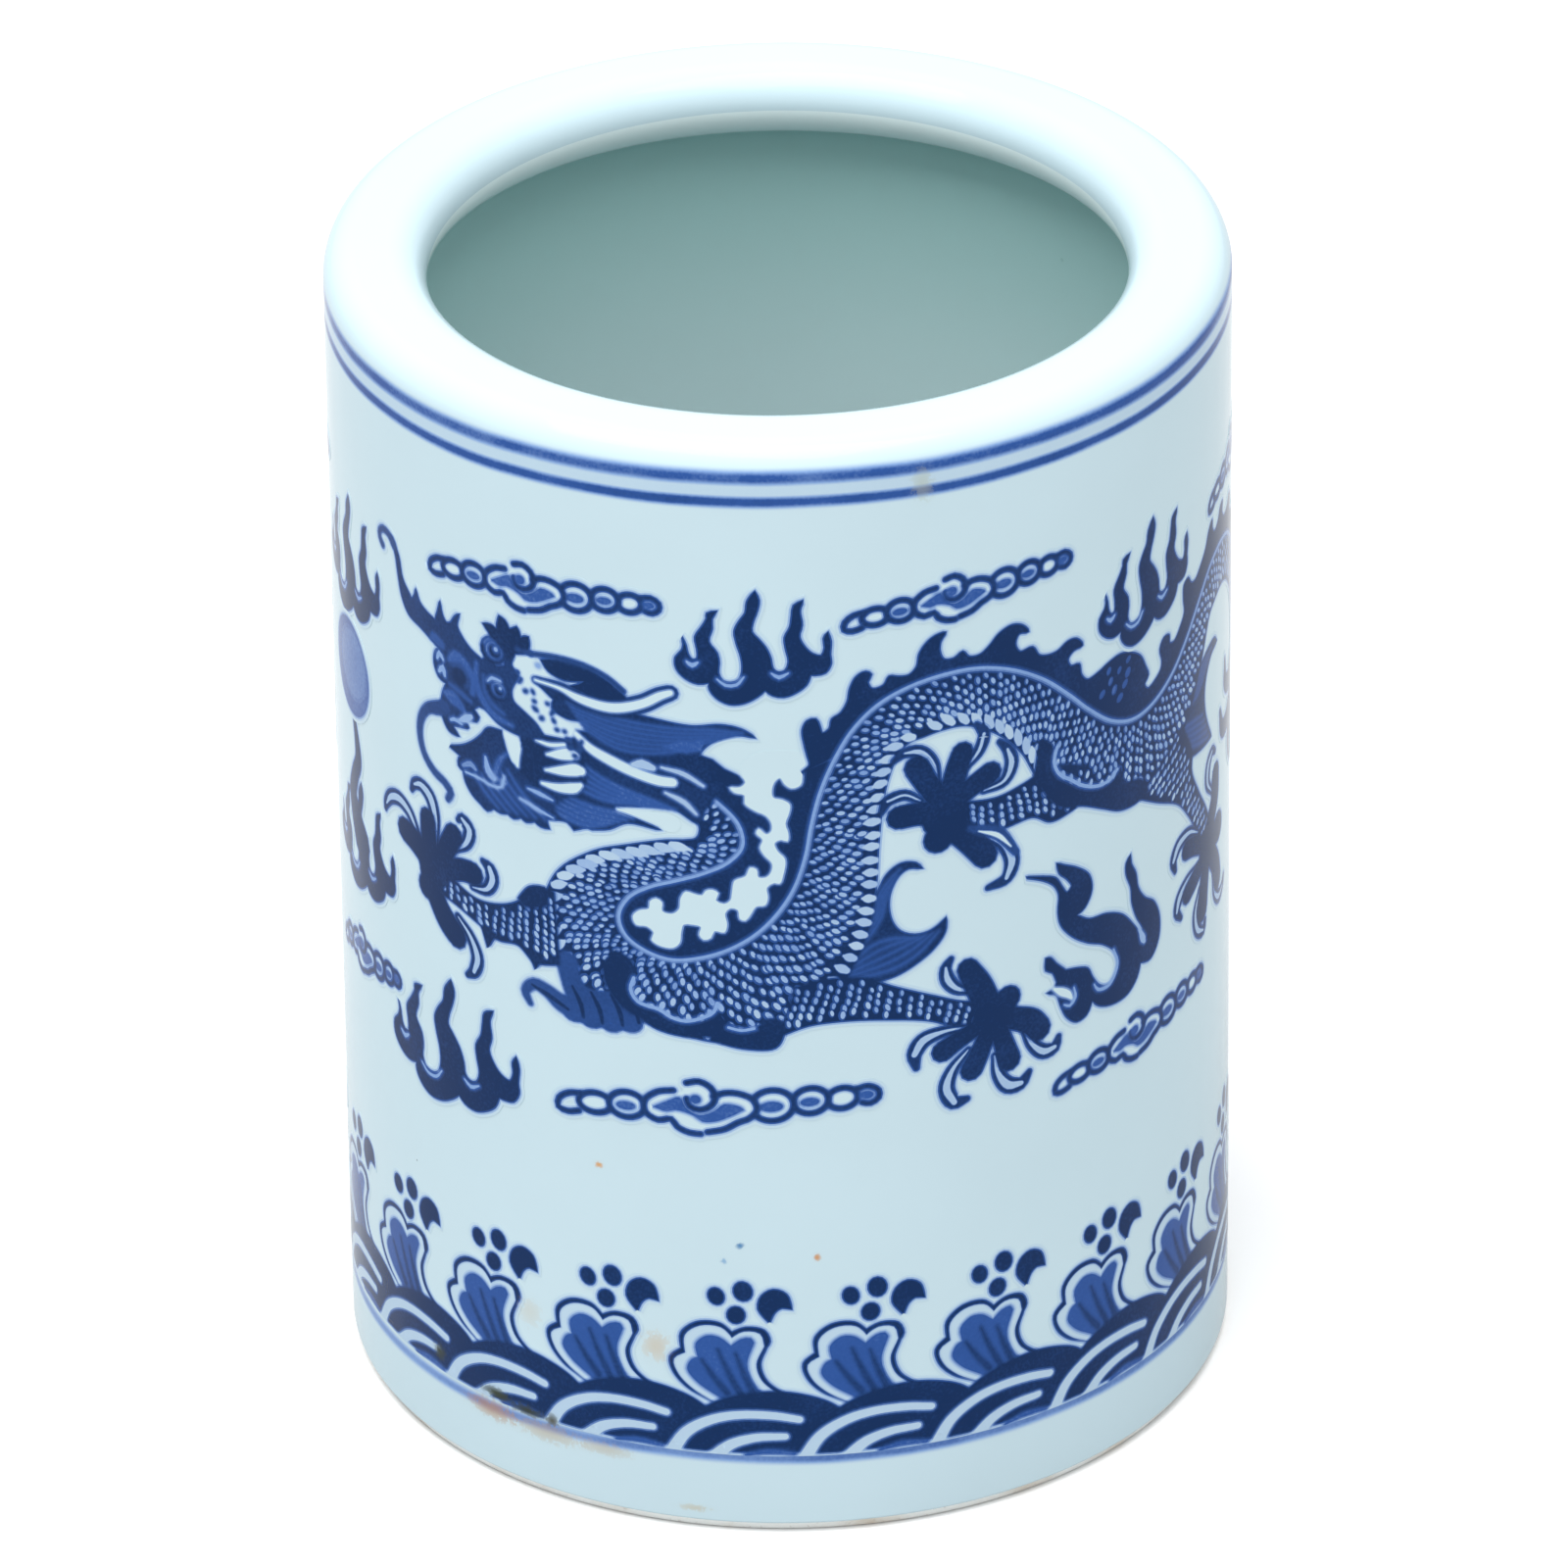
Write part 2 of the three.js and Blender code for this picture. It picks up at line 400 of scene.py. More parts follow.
def paint_cloud(painting, x, y, wide=1.0, tall=1.0, left_links=3, right_links=4, slope=0.0):
    """A scroll of cloud with a curled head, and chains of links that taper away on both sides."""

    def at(*rows):
        return [(x + p[0] * wide, y + p[1] * tall + p[0] * wide * slope, *p[2:]) for p in rows]

    line_width = 0.46

    def link(cx, cy, across, along, inner):
        rim = oval(cx, cy, across, along, 6, points=16)
        painting.fill(at(*rim), BARE, bleed=())
        painting.line(at(*rim, rim[0]), line_width, DEEP - 0.08, halo=True)
        if inner:
            painting.spot(*at((cx - 0.1, cy - 0.15))[0], across * wide * 0.55, along * tall * 0.34, 4, WASH)

    right = ((6.3, 0.5, 2.35, 1.95, True), (10.5, 0.95, 1.95, 1.6, True), (14.0, 1.0, 1.7, 1.3, False))
    left = ((-10.1, -0.7, 2.1, 1.6, True), (-13.9, -1.2, 2.0, 1.25, False))
    for cx, cy, across, along, inner in reversed(right[: right_links - 1]):
        link(cx, cy, across, along, inner)
    end = right[right_links - 2][0] + right[right_links - 2][2]
    hook = ((-0.1, 2.0), (1.2, 2.2), (2.3, 1.5), (2.3, 0.6), (1.4, 0.0), (0.5, 0.2))
    painting.line(at(*[(end + px, py) for px, py in hook]), line_width, DEEP - 0.08, halo=True)
    painting.spot(*at((end + 1.0, 1.1))[0], 0.75 * wide, 0.5 * tall, 0, WASH)
    for cx, cy, across, along, inner in reversed(left[: left_links - 1]):
        link(cx, cy, across, along, inner)
    start = left[left_links - 2][0] - left[left_links - 2][2]
    hook = ((0.3, -0.4), (-1.2, -0.7), (-2.5, -1.7), (-2.6, -2.8), (-1.4, -3.1), (0.0, -2.7))
    painting.line(at(*[(start + px, py) for px, py in hook]), line_width, DEEP - 0.08, halo=True)

    body = outline(
        at((-6.5, 1.6), (-8.0, 0.3), (-7.9, -1.2), (-6.5, -2.1), (-4.9, -1.8), (-4.2, -2.7), (-3.0, -3.3),
           (-1.2, -3.4), (1.0, -2.6), (2.6, -1.6), (3.9, -1.0), (4.6, 0.1), (4.0, 1.4), (2.4, 2.1),
           (0.9, 2.0), (0.0, 1.5), (-0.7, 2.8), (-1.9, 3.3), (-3.0, 3.0), (-4.0, 1.6), (-4.7, 2.0)))
    painting.fill(body, BARE, bleed=())
    painting.fill(outline(
            at((-7.1, -0.5), (-5.4, 0.5), (-4.0, 1.1), (-3.3, -0.2), (-1.8, -1.0), (-0.2, -0.4), (1.0, 0.6),
               (2.8, 0.3), (3.2, -0.1)),
            at((2.0, -0.8), (0.0, -1.7), (-1.5, -1.8), (-2.5, -1.1), (-4.5, -0.6), (-5.5, -0.9),
               (-7.1, -0.5)),
        ), WASH)
    painting.line(
        at((-4.7, 1.9), (-6.5, 1.5), (-8.0, 0.2), (-7.9, -1.3), (-6.5, -2.1), (-5.0, -1.8), (-4.3, -2.7),
           (-3.0, -3.3), (-1.7, -3.4)), line_width, DEEP - 0.08, halo=True)
    painting.line(
        at((-0.9, -3.1), (1.0, -2.6), (2.5, -1.7), (3.8, -1.1), (4.6, 0.0), (4.1, 1.3), (2.5, 2.0),
           (1.0, 2.0),
           (-0.2, 1.5)), line_width, DEEP - 0.08, halo=True)
    painting.line(
        at((-3.2, 3.0), (-1.8, 3.3), (-0.5, 2.6), (0.0, 1.3), (-0.6, 0.2), (-1.8, -0.3), (-2.9, 0.1),
           (-3.2, 1.0)),
        line_width, DEEP - 0.08, halo=True)
    painting.spot(*at((-2.2, 1.0))[0], 0.6, 0.55, 0, WASH)


def clouds():
    painting = Painting()
    paint_cloud(painting, -8.0, 55.0, slope=0.02)
    paint_cloud(painting, -28.2, 116.2, 0.82, 0.84, 3, 4, 0.012)
    paint_cloud(painting, 20.4, 117.0, 0.74, 0.8, 3, 4, -0.01)
    paint_cloud(painting, 45.6, 53.2, 0.76, 0.8, 3, 4, -0.01)
    paint_cloud(painting, -60.6, 56.6, 0.62, 0.78, 2, 3, 0.03)
    paint_cloud(painting, 74.0, 113.4, 0.7, 0.72, 3, 3, 0.02)
    return painting


# The dragon.

# Cross-sections of the body from neck to tail: a point on the spine line and one on the belly edge.
BODY_SECTIONS = ((-13.5, 97.2, -15.5, 94.6), (-10.5, 96.0, -12.0, 92.8), (-7.2, 93.6, -9.8, 91.5),
    (-5.0, 91.0, -9.2, 90.2), (-4.6, 88.3, -9.6, 89.0), (-6.2, 86.2, -10.8, 88.6),
    (-9.0, 84.6, -13.5, 88.2), (-12.0, 83.4, -17.5, 87.0), (-15.0, 82.2, -21.5, 85.4),
    (-17.4, 80.5, -25.6, 82.2), (-18.6, 78.0, -27.6, 78.2), (-17.9, 75.7, -28.0, 74.0),
    (-15.6, 74.1, -25.5, 69.8), (-12.6, 73.4, -19.5, 66.5), (-9.4, 74.0, -12.5, 64.3),
    (-6.4, 75.2, -6.0, 63.5), (-3.4, 77.2, 0.2, 65.5), (-1.0, 79.8, 5.0, 69.0),
    (0.9, 83.0, 8.6, 76.0), (2.2, 87.0, 9.8, 82.0), (2.9, 91.0, 10.2, 88.0),
    (3.9, 95.0, 10.8, 93.6), (5.5, 99.0, 11.9, 97.6), (7.6, 102.6, 13.4, 99.9),
    (10.5, 105.4, 15.6, 100.6), (14.2, 107.1, 17.6, 101.0), (18.5, 107.8, 20.0, 101.0),
    (22.0, 107.6, 22.2, 100.2), (26.0, 106.3, 25.0, 98.2), (30.0, 103.9, 27.4, 95.4),
    (33.5, 100.8, 29.2, 92.0), (36.5, 97.8, 31.8, 89.0), (40.0, 95.0, 36.5, 86.3),
    (43.5, 93.7, 42.0, 83.4), (47.0, 94.0, 48.5, 84.5), (51.0, 95.8, 54.5, 88.0),
    (54.5, 98.6, 58.6, 93.6), (58.0, 101.8, 61.0, 97.8), (61.5, 104.2, 63.0, 99.0),
    (65.5, 105.0, 66.0, 99.6), (70.0, 103.9, 68.8, 98.8), (74.0, 100.6, 71.4, 96.6),
    (76.4, 95.8, 73.0, 94.0), (77.0, 91.0, 74.0, 90.6), (76.0, 87.0, 74.0, 87.6))


def paint_toe(painting, toe, claw):
    """A dark toe and its pale curved claw, both (x, y, width) rows."""
    painting.brush(claw, DEEP - 0.08, halo=True)
    inside = [(x, y, max(width - 0.85, 0.12)) for x, y, width in claw[:-1]]
    painting.brush(inside, PALE - 0.12, bleed=((0.1, 0.5),))
    painting.brush(toe, DEEP, halo=True)


def scale(painting, x, y, turn, size=1.0, pale=0.22):
    """One scale: a pale fleck that darkens towards its edge, a little out of line with its neighbours."""
    chance = painting.chance
    x, y, turn = x + chance.uniform(-0.1, 0.1), y + chance.uniform(-0.08, 0.08), turn + chance.uniform(-14,
        14)
    size, pale = size * chance.uniform(0.76, 1.06), pale + chance.uniform(-0.05, 0.12)
    painting.lay([oval(x, y, 0.66 * size, 0.44 * size, turn, points=9)], WASH + 0.1)
    c, s = math.cos(math.radians(turn + 90)), math.sin(math.radians(turn + 90))
    painting.lay([oval(x + 0.08 * c, y + 0.08 * s, 0.46 * size, 0.26 * size, turn, points=8)], pale)


def paint_scales(painting, sections, rows, pitch, first=0.1, last=0.8, size=1.0, slant=20):
    """Staggered rows of scales between the two edges of a run of cross-sections."""
    path = through(sections, step=0.25)
    travelled = pitch * 0.7
    shift = False
    for a, b in zip(path, path[1:]):
        middle_a = ((a[0] + a[2]) / 2, (a[1] + a[3]) / 2)
        middle_b = ((b[0] + b[2]) / 2, (b[1] + b[3]) / 2)
        travelled += math.hypot(middle_b[0] - middle_a[0], middle_b[1] - middle_a[1])
        if travelled < pitch:
            continue
        travelled -= pitch
        across = math.hypot(b[2] - b[0], b[3] - b[1])
        turn = math.degrees(math.atan2(b[3] - b[1], b[2] - b[0]))
        number = max(2, round(across * (last - first) / rows))
        for i in range(number):
            k = first + (last - first) * (i + (0.75 if shift else 0.25)) / number
            x, y = b[0] + (b[2] - b[0]) * k, b[1] + (b[3] - b[1]) * k
            scale(painting, x, y, turn + slant, size * (0.85 + 0.35 * k), 0.3 - 0.12 * k)
        shift = not shift


def paint_body(painting):
    path = through(BODY_SECTIONS, step=0.5)
    spine = [(p[0], p[1]) for p in path]
    belly = [(p[2], p[3]) for p in path]
    painting.fill(spine + belly[::-1], DEEP, halo=True)
    paint_scales(painting, BODY_SECTIONS[:13], 1.25, 0.82, 0.08, 0.76)
    paint_scales(painting, BODY_SECTIONS[12:18], 1.5, 0.95, 0.06, 0.98, 1.15)
    paint_scales(painting, BODY_SECTIONS[17:34], 1.25, 0.86, 0.08, 0.8)
    paint_scales(painting, BODY_SECTIONS[33:], 1.25, 0.9, 0.1, 0.92)
    painting.line(spine, 0.38, PALE + 0.02)


def paint_belly(painting, sections, pitch=1.7, size=1.0):
    """Broad pale plates along the belly edge."""
    path = through(sections, step=0.2)
    travelled = 0.0
    for a, b in zip(path, path[1:]):
        travelled += math.hypot(b[2] - a[2], b[3] - a[3])
        if travelled < pitch:
            continue
        travelled -= pitch
        chance = painting.chance
        length, lean = 2.1 * size * chance.uniform(0.85, 1.15), 0.5 * size
        across = math.hypot(b[2] - b[0], b[3] - b[1])
        inward = ((b[0] - b[2]) / across, (b[1] - b[3]) / across)
        rows = []
        for k, width in ((0.22, 0.5), (0.5, 0.66), (0.8, 0.5), (1.0, 0.2)):
            reach, slip = length * k, lean * (k - 0.5) * 2
            rows.append((b[2] + inward[0] * reach - inward[1] * slip,
                         b[3] + inward[1] * reach + inward[0] * slip,
                         pitch * width))
        painting.brush(rows, PALE - 0.2 + chance.uniform(0, 0.14), bleed=((0.12, 0.5),))


def paint_crest(painting):
    """The dark dorsal fins outside the spine line, and the reserved gap inside the first coil."""
    spine = [(p[0], p[1]) for p in through(BODY_SECTIONS, step=0.5)]
    low = min(range(len(spine)), key=lambda i: math.dist(spine[i], (5.5, 99.0)))
    painting.fill(
        [*spine[: low + 1], (1.9, 97.6), (-4.0, 96.6), (-6.5, 97.8), (-7.8, 98.9), (-9.0, 99.3),
         (-11.0, 98.6)],
        DEEP, halo=True)
    gap = ((-3.2, 99.5), (-4.6, 97.4), (-4.2, 96.3), (-4.8, 95.7), (-5.9, 95.6), (-5.4, 95.0), (-4.3, 94.7),
        (-4.3, 93.7), (-3.2, 92.8), (-2.0, 92.2), (-1.4, 91.2), (-1.5, 90.2), (-2.0, 89.9), (-2.8, 90.6),
        (-3.1, 90.0), (-2.4, 89.2), (-2.7, 88.2), (-2.2, 87.2), (-1.4, 86.2), (-1.6, 85.0), (-2.1, 84.5),
        (-2.9, 84.5), (-3.1, 85.5), (-3.8, 85.7), (-4.3, 84.6), (-5.5, 84.0), (-5.8, 82.6), (-6.0, 81.5),
        (-6.7, 81.0), (-7.6, 81.4), (-7.3, 82.3), (-8.0, 82.7), (-8.7, 82.5), (-9.1, 81.9), (-10.0, 82.0),
        (-10.9, 82.2), (-11.5, 81.3), (-11.7, 79.9), (-12.5, 79.2), (-13.6, 79.4), (-13.6, 80.5),
        (-14.3, 80.9), (-15.0, 80.4), (-15.1, 79.5), (-16.2, 79.1), (-17.0, 78.2), (-16.6, 77.2),
        (-15.4, 77.2), (-14.6, 76.5), (-14.9, 75.6), (-14.0, 75.0), (-12.5, 74.9), (-11.7, 75.6),
        (-11.5, 77.0), (-11.2, 78.0), (-10.3, 78.1), (-9.3, 77.9), (-9.5, 76.9), (-9.0, 76.3), (-8.2, 76.6),
        (-7.8, 77.5), (-6.7, 77.4), (-6.4, 78.5), (-6.6, 79.8), (-6.0, 80.5), (-5.2, 80.3), (-5.0, 79.2),
        (-4.4, 79.0), (-3.8, 79.8), (-3.2, 80.8), (-2.2, 81.0), (-1.9, 82.0), (-2.0, 83.2), (-1.2, 83.8),
        (-0.6, 83.7), (-0.2, 84.8), (0.0, 86.8), (-0.8, 87.8), (-1.1, 88.8), (-0.4, 89.2), (0.3, 89.0),
        (0.4, 90.0), (0.1, 91.2), (0.5, 92.5), (0.6, 93.6), (-0.2, 94.2), (-1.2, 94.5), (-1.3, 95.6),
        (-0.9, 96.6), (-0.4, 96.9), (0.0, 96.2), (0.8, 95.6), (1.8, 96.0), (2.0, 97.2), (2.0, 99.5))
    painting.fill(through(gap, closed=True, step=0.4), BARE)
    fins = ((1.9, 97.5), (2.8, 98.4), (2.6, 99.6), (2.3, 101.0), (2.1, 102.8), (2.6, 103.9), (3.5, 104.1),
        (3.9, 103.2), (4.2, 102.3), (5.0, 102.8), (5.3, 104.0), (6.2, 104.6), (7.0, 106.0), (7.3, 107.6),
        (8.0, 109.0), (9.0, 109.5), (9.6, 109.1), (9.2, 108.2), (9.7, 107.3), (11.0, 107.6), (11.6, 108.6),
        (12.6, 108.4), (13.8, 108.4), (14.7, 109.3), (15.0, 110.8), (15.8, 112.0), (16.8, 112.7),
        (18.0, 112.9), (17.4, 111.9), (17.3, 110.7), (17.8, 109.6), (19.0, 109.5), (20.0, 110.1),
        (20.7, 109.3), (22.0, 109.2), (23.2, 110.0), (24.4, 111.2), (26.0, 111.8), (27.3, 111.4),
        (28.1, 110.4), (26.9, 110.5), (26.4, 109.4), (27.0, 108.2), (28.6, 108.3), (29.5, 107.0),
        (30.8, 106.6), (32.0, 106.7), (33.4, 107.4), (34.6, 107.3), (35.5, 106.2), (34.2, 106.0),
        (33.4, 105.2), (33.8, 104.2), (35.0, 104.0), (35.3, 102.6), (36.2, 101.6), (38.0, 101.9),
        (39.4, 102.4), (41.4, 102.7), (43.4, 102.0), (44.9, 100.9), (45.8, 99.2), (46.3, 98.0),
        (45.6, 97.1), (46.2, 96.3), (47.6, 96.7), (48.8, 97.6), (49.0, 98.6), (48.6, 100.2), (49.4, 101.2),
        (50.5, 101.0), (50.6, 100.0), (51.6, 99.7), (53.0, 100.8), (54.0, 102.2), (53.8, 104.0),
        (53.9, 105.6), (54.9, 106.0), (55.7, 105.0), (56.8, 104.8), (58.4, 105.8), (60.0, 107.2),
        (61.0, 108.8), (62.2, 109.6), (62.3, 108.4), (63.2, 107.6), (64.6, 108.2), (65.6, 109.4),
        (66.8, 109.6), (66.6, 108.2), (67.6, 107.2), (69.6, 107.4), (71.2, 108.2), (72.2, 107.6),
        (71.8, 106.0), (73.0, 105.0), (74.8, 105.0), (76.4, 104.2), (75.8, 102.8), (76.6, 101.4),
        (78.4, 100.8), (79.4, 99.2), (78.2, 98.2), (78.4, 96.4), (79.8, 95.0), (80.0, 93.0), (78.6, 92.4),
        (78.4, 90.4), (79.0, 88.6), (78.2, 87.0))
    painting.fill([*through(fins, step=0.4), *spine[:low:-1]], DEEP, halo=True)
    for i in range(9):
        ring, turn = divmod(i, 5)
        angle = math.radians(72 * turn + 20 + 36 * ring)
        reach = 1.5 + 1.3 * ring
        scale(painting, 41.2 + reach * math.cos(angle), 99.6 + 0.8 * reach * math.sin(angle), 55, 1.0, WASH)


def paint_haunches(painting):
    """The dark muscled haunches, each edged with a pale line."""
    painting.fill(outline(
            [(-19.2, 73.4), (-17.4, 72.6), (-16.9, 70.6), (-17.6, 69.4), (-17.3, 68.0), (-16.0, 67.0),
             (-14.0, 66.6), (-12.4, 65.8), (-10.6, 65.6), (-8.8, 66.2), (-7.6, 67.2), (-6.6, 66.0),
             (-4.0, 65.2), (-1.8, 66.6), (-0.4, 66.2)],
            [(-0.4, 64.6), (-1.3, 63.0), (-4.4, 62.8), (-7.2, 63.4), (-8.4, 64.1), (-11.5, 63.9),
             (-14.4, 64.4), (-16.2, 65.4), (-18.4, 66.6), (-20.2, 69.0), (-20.6, 71.4)], [(-19.2, 73.4)]),
        DEEP, halo=True)
    painting.line(
        [(-17.0, 70.4), (-17.4, 68.9), (-16.6, 67.5), (-14.2, 66.9), (-12.8, 66.1), (-11.2, 65.8),
         (-9.3, 66.4),
         (-8.0, 67.3), (-7.6, 68.4)], 0.42, PALE)
    painting.line([(-6.4, 65.4), (-5.0, 65.1), (-3.6, 65.4)], 0.35, PALE)
    painting.fill(outline(
            [(29.6, 96.4), (31.2, 95.2), (31.2, 93.2), (31.8, 91.4), (33.4, 89.8), (35.4, 88.4), (37.6, 87.4),
             (40.4, 87.4), (41.4, 88.6), (42.0, 86.4), (45.0, 85.4), (46.4, 83.4)],
            [(44.0, 82.9), (41.4, 83.2), (38.6, 84.6), (35.4, 86.2), (32.6, 87.0), (30.4, 89.4),
             (28.9, 92.4)],
            [(29.6, 96.4)]), DEEP, halo=True)
    painting.line(
        [(31.9, 94.8), (31.5, 93.0), (32.2, 91.3), (33.8, 90.0), (35.6, 88.6), (37.8, 87.7), (39.6, 87.7),
         (40.9, 88.5)], 0.42, PALE)


def paint_leg(painting, sections, pitch=1.15, rows=0.92, first=0.12, last=0.9):
    """A scaled leg between two edges, given as cross-sections."""
    path = through(sections)
    rim = [(p[0], p[1]) for p in path] + [(p[2], p[3]) for p in path][::-1]
    painting.fill(rim, DEEP, halo=True)
    paint_scales(painting, sections, rows, pitch, first, last, 0.92)


def paint_limbs(painting):
    # Fore leg on the left, its paw and claws.
    paint_leg(painting, ((-26.5, 79.0, -26.0, 70.0), (-28.8, 79.0, -29.0, 69.4), (-31.0, 76.6, -31.4, 70.9),
                         (-33.6, 75.2, -34.2, 70.6), (-37.2, 74.6, -37.0, 71.6), (-40.6, 75.6, -40.6, 72.7),
                         (-44.0, 77.4, -44.4, 73.2)))
    painting.fill(outline([(-27.6, 79.2), (-29.6, 78.8), (-31.2, 76.9)], [(-30.2, 76.2), (-28.6, 76.6),
        (-27.4, 77.2)],
                          [(-27.6, 79.2)]), DEEP)
    painting.fill(outline([(-34.4, 71.2), (-35.7, 69.0)], [(-36.6, 71.4)], [(-34.4, 71.2)]), DEEP, halo=True)
    painting.fill(outline([(-28.0, 70.6), (-29.1, 68.5)], [(-30.2, 70.8)], [(-28.0, 70.6)]), DEEP, halo=True)
    paint_toe(painting, ((-45.4, 76.4, 2.6), (-47.8, 77.8, 3.0), (-49.4, 78.2, 2.9)),
              ((-46.8, 78.6, 0.9), (-48.6, 80.9, 1.5), (-50.6, 81.6, 1.7), (-52.5, 80.9, 1.5),
               (-53.5, 79.6, 1.0), (-53.7, 78.9, 0.5)))
    paint_toe(painting, ((-44.6, 76.6, 2.4), (-44.9, 79.4, 2.6), (-45.0, 81.6, 2.5)),
              ((-43.6, 79.0, 0.6), (-43.7, 82.6, 1.5), (-44.6, 84.7, 1.8), (-46.2, 85.4, 1.5),
               (-47.4, 84.9, 1.1), (-47.9, 84.0, 0.5)))
    paint_toe(painting, ((-43.0, 77.0, 2.2), (-41.6, 79.6, 2.6), (-40.6, 81.4, 2.6)),
              ((-40.2, 79.7, 0.6), (-38.6, 81.2, 1.4), (-38.1, 83.0, 1.6), (-39.2, 84.0, 1.2),
               (-39.8, 83.6, 0.5)))
    paint_toe(painting, ((-42.4, 76.0, 2.2), (-39.6, 77.4, 2.6), (-37.6, 77.7, 2.7)),
              ((-37.8, 75.9, 0.6), (-35.7, 76.4, 1.3), (-34.8, 78.0, 1.6), (-35.2, 79.3, 1.4),
               (-36.1, 79.8, 0.6)))
    paint_toe(painting, ((-44.8, 74.4, 3.2), (-43.6, 71.8, 3.0), (-42.0, 69.8, 3.2), (-40.6, 68.7, 3.1)),
              ((-40.2, 71.2, 0.8), (-38.3, 69.4, 1.3), (-37.3, 67.0, 1.6), (-37.9, 65.1, 1.3),
               (-38.9, 64.3, 0.5)))
    painting.spot(-45.4, 72.9, 1.4, 1.5, 0, halo=True)
    painting.spot(-44.2, 75.6, 2.5, 2.3, 0)
    # Fore leg in the middle.
    paint_leg(painting, ((1.0, 70.6, -0.6, 64.6), (4.4, 71.4, 2.6, 65.8), (8.4, 71.2, 7.0, 66.1),
                         (12.0, 69.6, 11.4, 65.7), (16.4, 67.7, 15.8, 64.8), (20.0, 66.2, 19.0, 63.3),
                         (23.0, 65.6, 21.6, 62.4)), 1.2, 0.98, 0.08, 0.92)
    paint_toe(painting, ((22.9, 65.0, 3.0), (21.6, 68.0, 3.0), (20.4, 70.3, 2.4)),
              ((21.0, 67.4, 0.7), (19.1, 68.1, 1.3), (18.0, 69.5, 1.5), (17.8, 71.0, 1.1), (18.4, 72.0, 0.5)))
    paint_toe(painting, ((21.2, 62.4, 1.9), (19.0, 61.4, 2.2), (17.4, 60.5, 2.5)),
              ((20.4, 62.9, 0.6), (17.6, 63.0, 1.2), (15.1, 62.3, 1.7), (14.1, 60.7, 1.5), (14.3, 59.0, 0.6)))
    paint_toe(painting, ((22.8, 61.6, 2.0), (21.6, 58.9, 2.4), (20.8, 57.4, 2.6)),
              ((20.4, 60.0, 0.6), (18.5, 57.9, 1.3), (17.8, 55.6, 1.7), (18.7, 53.7, 1.5), (20.2, 53.8, 0.6)))
    paint_toe(painting, ((24.2, 61.6, 2.0), (25.0, 58.9, 2.4), (25.5, 57.3, 2.6)),
              ((23.6, 58.4, 0.6), (24.1, 55.9, 1.4), (25.4, 54.1, 1.8), (27.0, 53.9, 1.4), (28.0, 55.0, 0.6)))
    paint_toe(painting, ((25.8, 62.6, 2.6), (28.2, 61.4, 2.9), (29.4, 60.0, 2.8)),
              ((27.2, 61.0, 0.6), (28.5, 58.3, 1.3), (30.1, 56.9, 1.6), (31.5, 57.0, 1.3), (32.0, 58.1, 0.6)))
    painting.spot(25.3, 65.2, 1.5, 1.5, 0, halo=True)
    painting.spot(23.6, 63.6, 2.6, 2.4, 0)
    # Raised leg under the arch of the back.
    paint_leg(painting, ((36.0, 91.0, 34.4, 86.2), (31.0, 92.6, 31.0, 85.8), (27.4, 91.6, 28.4, 87.2),
                         (24.2, 90.9, 24.4, 86.9), (20.8, 91.2, 21.0, 88.1), (17.0, 92.2, 17.4, 88.4)),
                         1.15, 0.92)
    paint_toe(painting, ((17.6, 90.6, 2.9), (14.8, 91.0, 2.7), (12.6, 90.9, 2.7)),
              ((15.0, 92.6, 0.6), (13.2, 93.6, 1.1), (11.3, 93.1, 1.1), (10.6, 91.8, 0.5)))
    paint_toe(painting, ((17.6, 91.6, 2.4), (15.9, 94.4, 2.5), (14.6, 96.8, 2.7)),
              ((17.0, 94.2, 0.6), (16.4, 97.0, 1.3), (14.9, 98.7, 1.4), (13.2, 98.8, 1.0), (12.0, 98.0, 0.5)))
    paint_toe(painting, ((18.4, 92.2, 2.6), (19.2, 95.4, 2.6), (19.9, 97.6, 2.4)),
              ((20.3, 95.6, 0.6), (21.9, 97.4, 1.2), (22.5, 99.3, 1.2), (21.6, 100.7, 0.5)))
    paint_toe(painting, ((19.0, 91.8, 2.2), (21.6, 93.4, 2.4), (23.2, 94.2, 2.6)),
              ((22.4, 92.2, 0.6), (25.0, 92.8, 1.2), (25.9, 94.8, 1.5), (25.4, 96.6, 1.1), (24.4, 97.8, 0.5)))
    paint_toe(painting, ((18.6, 88.8, 3.0), (20.8, 86.4, 3.0), (22.6, 84.0, 2.8)),
              ((22.4, 86.6, 0.8), (24.8, 84.9, 1.4), (25.9, 82.5, 1.7), (25.2, 80.5, 1.3), (22.9, 79.9, 0.5)))
    painting.brush(((20.8, 87.9, 0.5), (24.2, 86.4, 1.3), (26.4, 83.4, 0.6)), RICH, halo=True)
    painting.brush(((21.8, 87.3, 0.1), (24.1, 86.2, 0.5), (25.8, 84.3, 0.1)), BARE, bleed=((0.1, 0.5),))
    painting.spot(17.0, 87.4, 1.6, 1.6, 0, halo=True)
    painting.spot(17.8, 90.0, 2.6, 2.5, 0)
